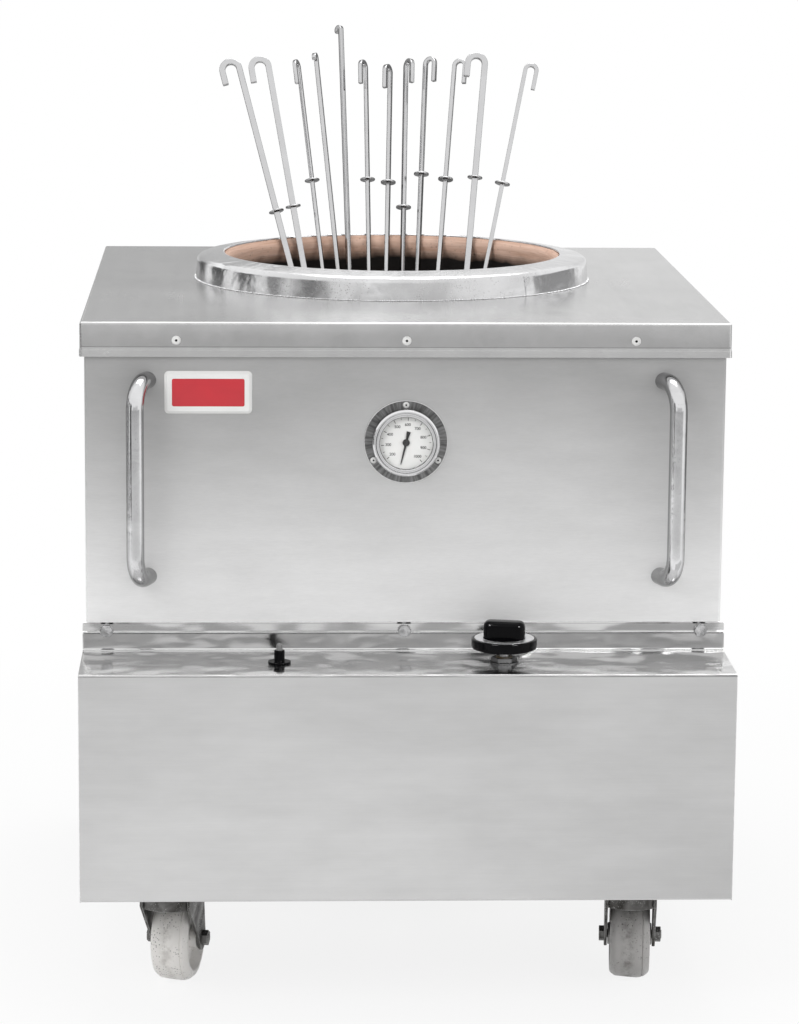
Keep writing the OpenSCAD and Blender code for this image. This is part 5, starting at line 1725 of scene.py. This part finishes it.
@dataclass
class Studio:
    """Floor, backdrop colour, lamps and the camera at the photograph's angle."""

    camera_at: Point = (-0.2148, -5.16416, 1.53938)
    yaw: float = 2.484
    pitch: float = 10.438
    roll: float = 0.47
    lens: float = 128.16
    fill: float = 0.55
    floor_size: float = 28.0
    shade_from: float = 0.6
    shade_to: float = 1.8

    def build(self) -> None:
        """Makes the studio."""
        self.floor()
        self.world()
        self.cards()
        self.lamps()
        self.camera()

    def floor(self) -> None:
        """Lays the pale floor, which keeps the oven's shadow."""
        mesh = flat_mesh("studio_floor", self.floor_size, self.floor_size)
        material, s = blank_material("floor_white")
        matt = s.add("ShaderNodeBsdfDiffuse", {"Color": (0.90, 0.90, 0.90, 1.0)})
        glow = s.add("ShaderNodeEmission", {"Color": (1.0, 1.0, 1.0, 1.0), "Strength": 1.0})
        reach = s.vector("LENGTH", s.place(), out="Value")
        share = s.math("MULTIPLY", s.seen(),
                       s.span(reach, self.shade_from, self.shade_to, 0.86, 1.0))
        both = s.add("ShaderNodeMixShader", {0: share, 1: matt.outputs[0],
                                             2: glow.outputs[0]})
        s.add("ShaderNodeOutputMaterial", {"Surface": both.outputs[0]})
        mesh.materials.append(material)
        placed("studio_floor", mesh)

    def world(self) -> None:
        """Sets a white surround for the camera and for reflections."""
        world = bpy.data.worlds.new("studio_world")
        bpy.context.scene.world = world
        world.use_nodes = True
        world.node_tree.nodes.clear()
        s = NodeSheet(world.node_tree)
        strength = s.span(s.seen(), 0.0, 1.0, self.fill, 1.0)
        back = s.add("ShaderNodeBackground", {"Color": (1.0, 1.0, 1.0, 1.0),
                                              "Strength": strength})
        s.add("ShaderNodeOutputWorld", {"Surface": back.outputs[0]})

    def lamp(self, name: str, at: Point, aim: Point, size: float,
             power: float) -> Piece:
        """Hangs a soft square lamp.

        Args:
            name: The lamp's name.
            at: Where it hangs.
            aim: The point it lights.
            size: Its side length.
            power: Its power in watts.

        Returns:
            The lamp.
        """
        data = bpy.data.lights.new(name, "AREA")
        data.size = size
        data.energy = power
        lamp = placed(name, data)
        way = Vector(aim) - Vector(at)
        lamp.matrix_world = (Matrix.Translation(at)
                             @ way.to_track_quat("-Z", "Y").to_matrix().to_4x4())
        return lamp

    def card(self, name: str, at: Point, aim: Point, size: tuple[float, float],
             foot_tone: float, top_tone: float) -> None:
        """Stands a grey card that shows only in reflections.

        Args:
            name: The card's name.
            at: Its middle.
            aim: The point it faces.
            size: Its width and height.
            foot_tone: How bright its lower edge looks, from black at 0 to white at 1.
            top_tone: How bright its upper edge looks.
        """
        mesh = flat_mesh(name, *size)
        mesh.transform(facing(at, Vector(aim) - Vector(at)))
        card = placed(name, mesh)
        card.visible_camera = False
        card.visible_diffuse = False
        card.visible_shadow = False
        material, s = blank_material(name)
        half = size[1] / 2
        tone = s.span(s.height(s.place()), at[2] - half, at[2] + half, foot_tone, top_tone)
        glow = s.add("ShaderNodeEmission", {"Color": (1.0, 1.0, 1.0, 1.0), "Strength": tone})
        s.add("ShaderNodeOutputMaterial", {"Surface": glow.outputs[0]})
        mesh.materials.append(material)

    def cards(self) -> None:
        """Stands the cards that give the polished steel its darks."""
        for name, at, size, foot, top in (
                ("card_front", (0.1, -1.5, 0.40), (3.0, 0.80), 1.05, 0.40),
                ("card_behind_camera", (0.6, -7.5, 1.5), (9.0, 1.4), 0.75, 0.55),
                ("card_left_wide", (-2.6, -2.2, 0.9), (1.2, 1.6), 0.08, 0.08),
                ("card_left_near", (-3.2, 0.35, 0.9), (0.8, 1.6), 0.03, 0.03),
                ("card_left_far", (-2.5, 1.6, 0.9), (0.7, 1.6), 0.06, 0.06),
                ("card_left_back", (-1.6, 2.8, 0.9), (1.2, 1.2), 0.05, 0.05),
                ("card_left_front", (-3.1, -0.9, 0.9), (0.7, 1.6), 0.10, 0.10),
                ("card_right", (3.0, 1.1, 0.9), (2.6, 1.6), 0.30, 0.30),
                ("card_back_left", (-1.1, 3.0, 1.5), (2.0, 1.3), 0.55, 0.42),
                ("card_back_right", (1.1, 3.0, 1.5), (2.0, 1.3), 0.88, 0.70)):
            self.card(name, at, (0.0, 0.0, at[2]), size, foot, top)
        self.card("card_floor_right", (1.05, -1.9, 0.004), (1.05, -1.9, 1.0), (1.5, 2.4),
                  0.62, 0.62)

    def lamps(self) -> None:
        """Hangs the key, the fill and the top lamp."""
        aim = (0.0, 0.0, 0.6)
        self.lamp("key", (-2.4, -2.8, 2.6), aim, 1.8, 60).visible_glossy = False
        self.lamp("fill", (2.8, -2.4, 1.6), aim, 2.0, 25).visible_glossy = False
        self.lamp("top", (0.2, 0.6, 3.2), aim, 2.0, 40)

    def sparkle(self, names: Sequence[str]) -> None:
        """Hangs two hard lamps that light only the glossy black pieces.

        Args:
            names: The pieces that they light.
        """
        lit = bpy.data.collections.new("glossy_black_pieces")
        for name in names:
            lit.objects.link(bpy.data.objects[name])
        for name, at in (("spark_left", (-1.5, -2.4, 2.2)),
                         ("spark_right", (1.6, -2.6, 1.6))):
            lamp = self.lamp(name, at, (0.1, -0.4, 0.5), 0.9, 160)
            lamp.visible_diffuse = False
            lamp.light_linking.receiver_collection = lit

    def camera(self) -> None:
        """Places the camera."""
        yaw, pitch, roll = (math.radians(a) for a in (self.yaw, self.pitch, self.roll))
        ahead = Vector((math.sin(yaw) * math.cos(pitch), math.cos(yaw) * math.cos(pitch),
                        -math.sin(pitch)))
        level = Vector((math.cos(yaw), -math.sin(yaw), 0))
        above = level.cross(ahead)
        right = math.cos(roll) * level + math.sin(roll) * above
        up = -math.sin(roll) * level + math.cos(roll) * above
        turn = Matrix((right, up, -ahead)).transposed().to_4x4()
        data = bpy.data.cameras.new("camera")
        data.lens = self.lens
        data.sensor_width = 36.0
        data.sensor_height = 36.0
        data.sensor_fit = "AUTO"
        data.clip_end = 60.0
        camera = placed("camera", data)
        camera.matrix_world = Matrix.Translation(self.camera_at) @ turn
        bpy.context.scene.camera = camera


def main() -> None:
    """Builds the studio and every sub-assembly."""
    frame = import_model()
    bpy.context.scene.view_settings.view_transform = "Standard"
    studio = Studio()
    studio.build()
    shop = Workshop(frame)
    trees = RepeatTrees()
    for part in (Cabinet(shop, trees), MouthCollar(shop, trees), PotAndHearth(shop),
                 Handles(shop), Badge(shop), Thermometer(shop, trees), FrontControls(shop),
                 CasterSet(shop), Skewers(shop)):
        LOG.info("sub-assembly %s", type(part).__name__)
        part.build()
    studio.sparkle(("gas_knob", "igniter_housing", "igniter_push"))


if __name__ == "__main__":
    main()
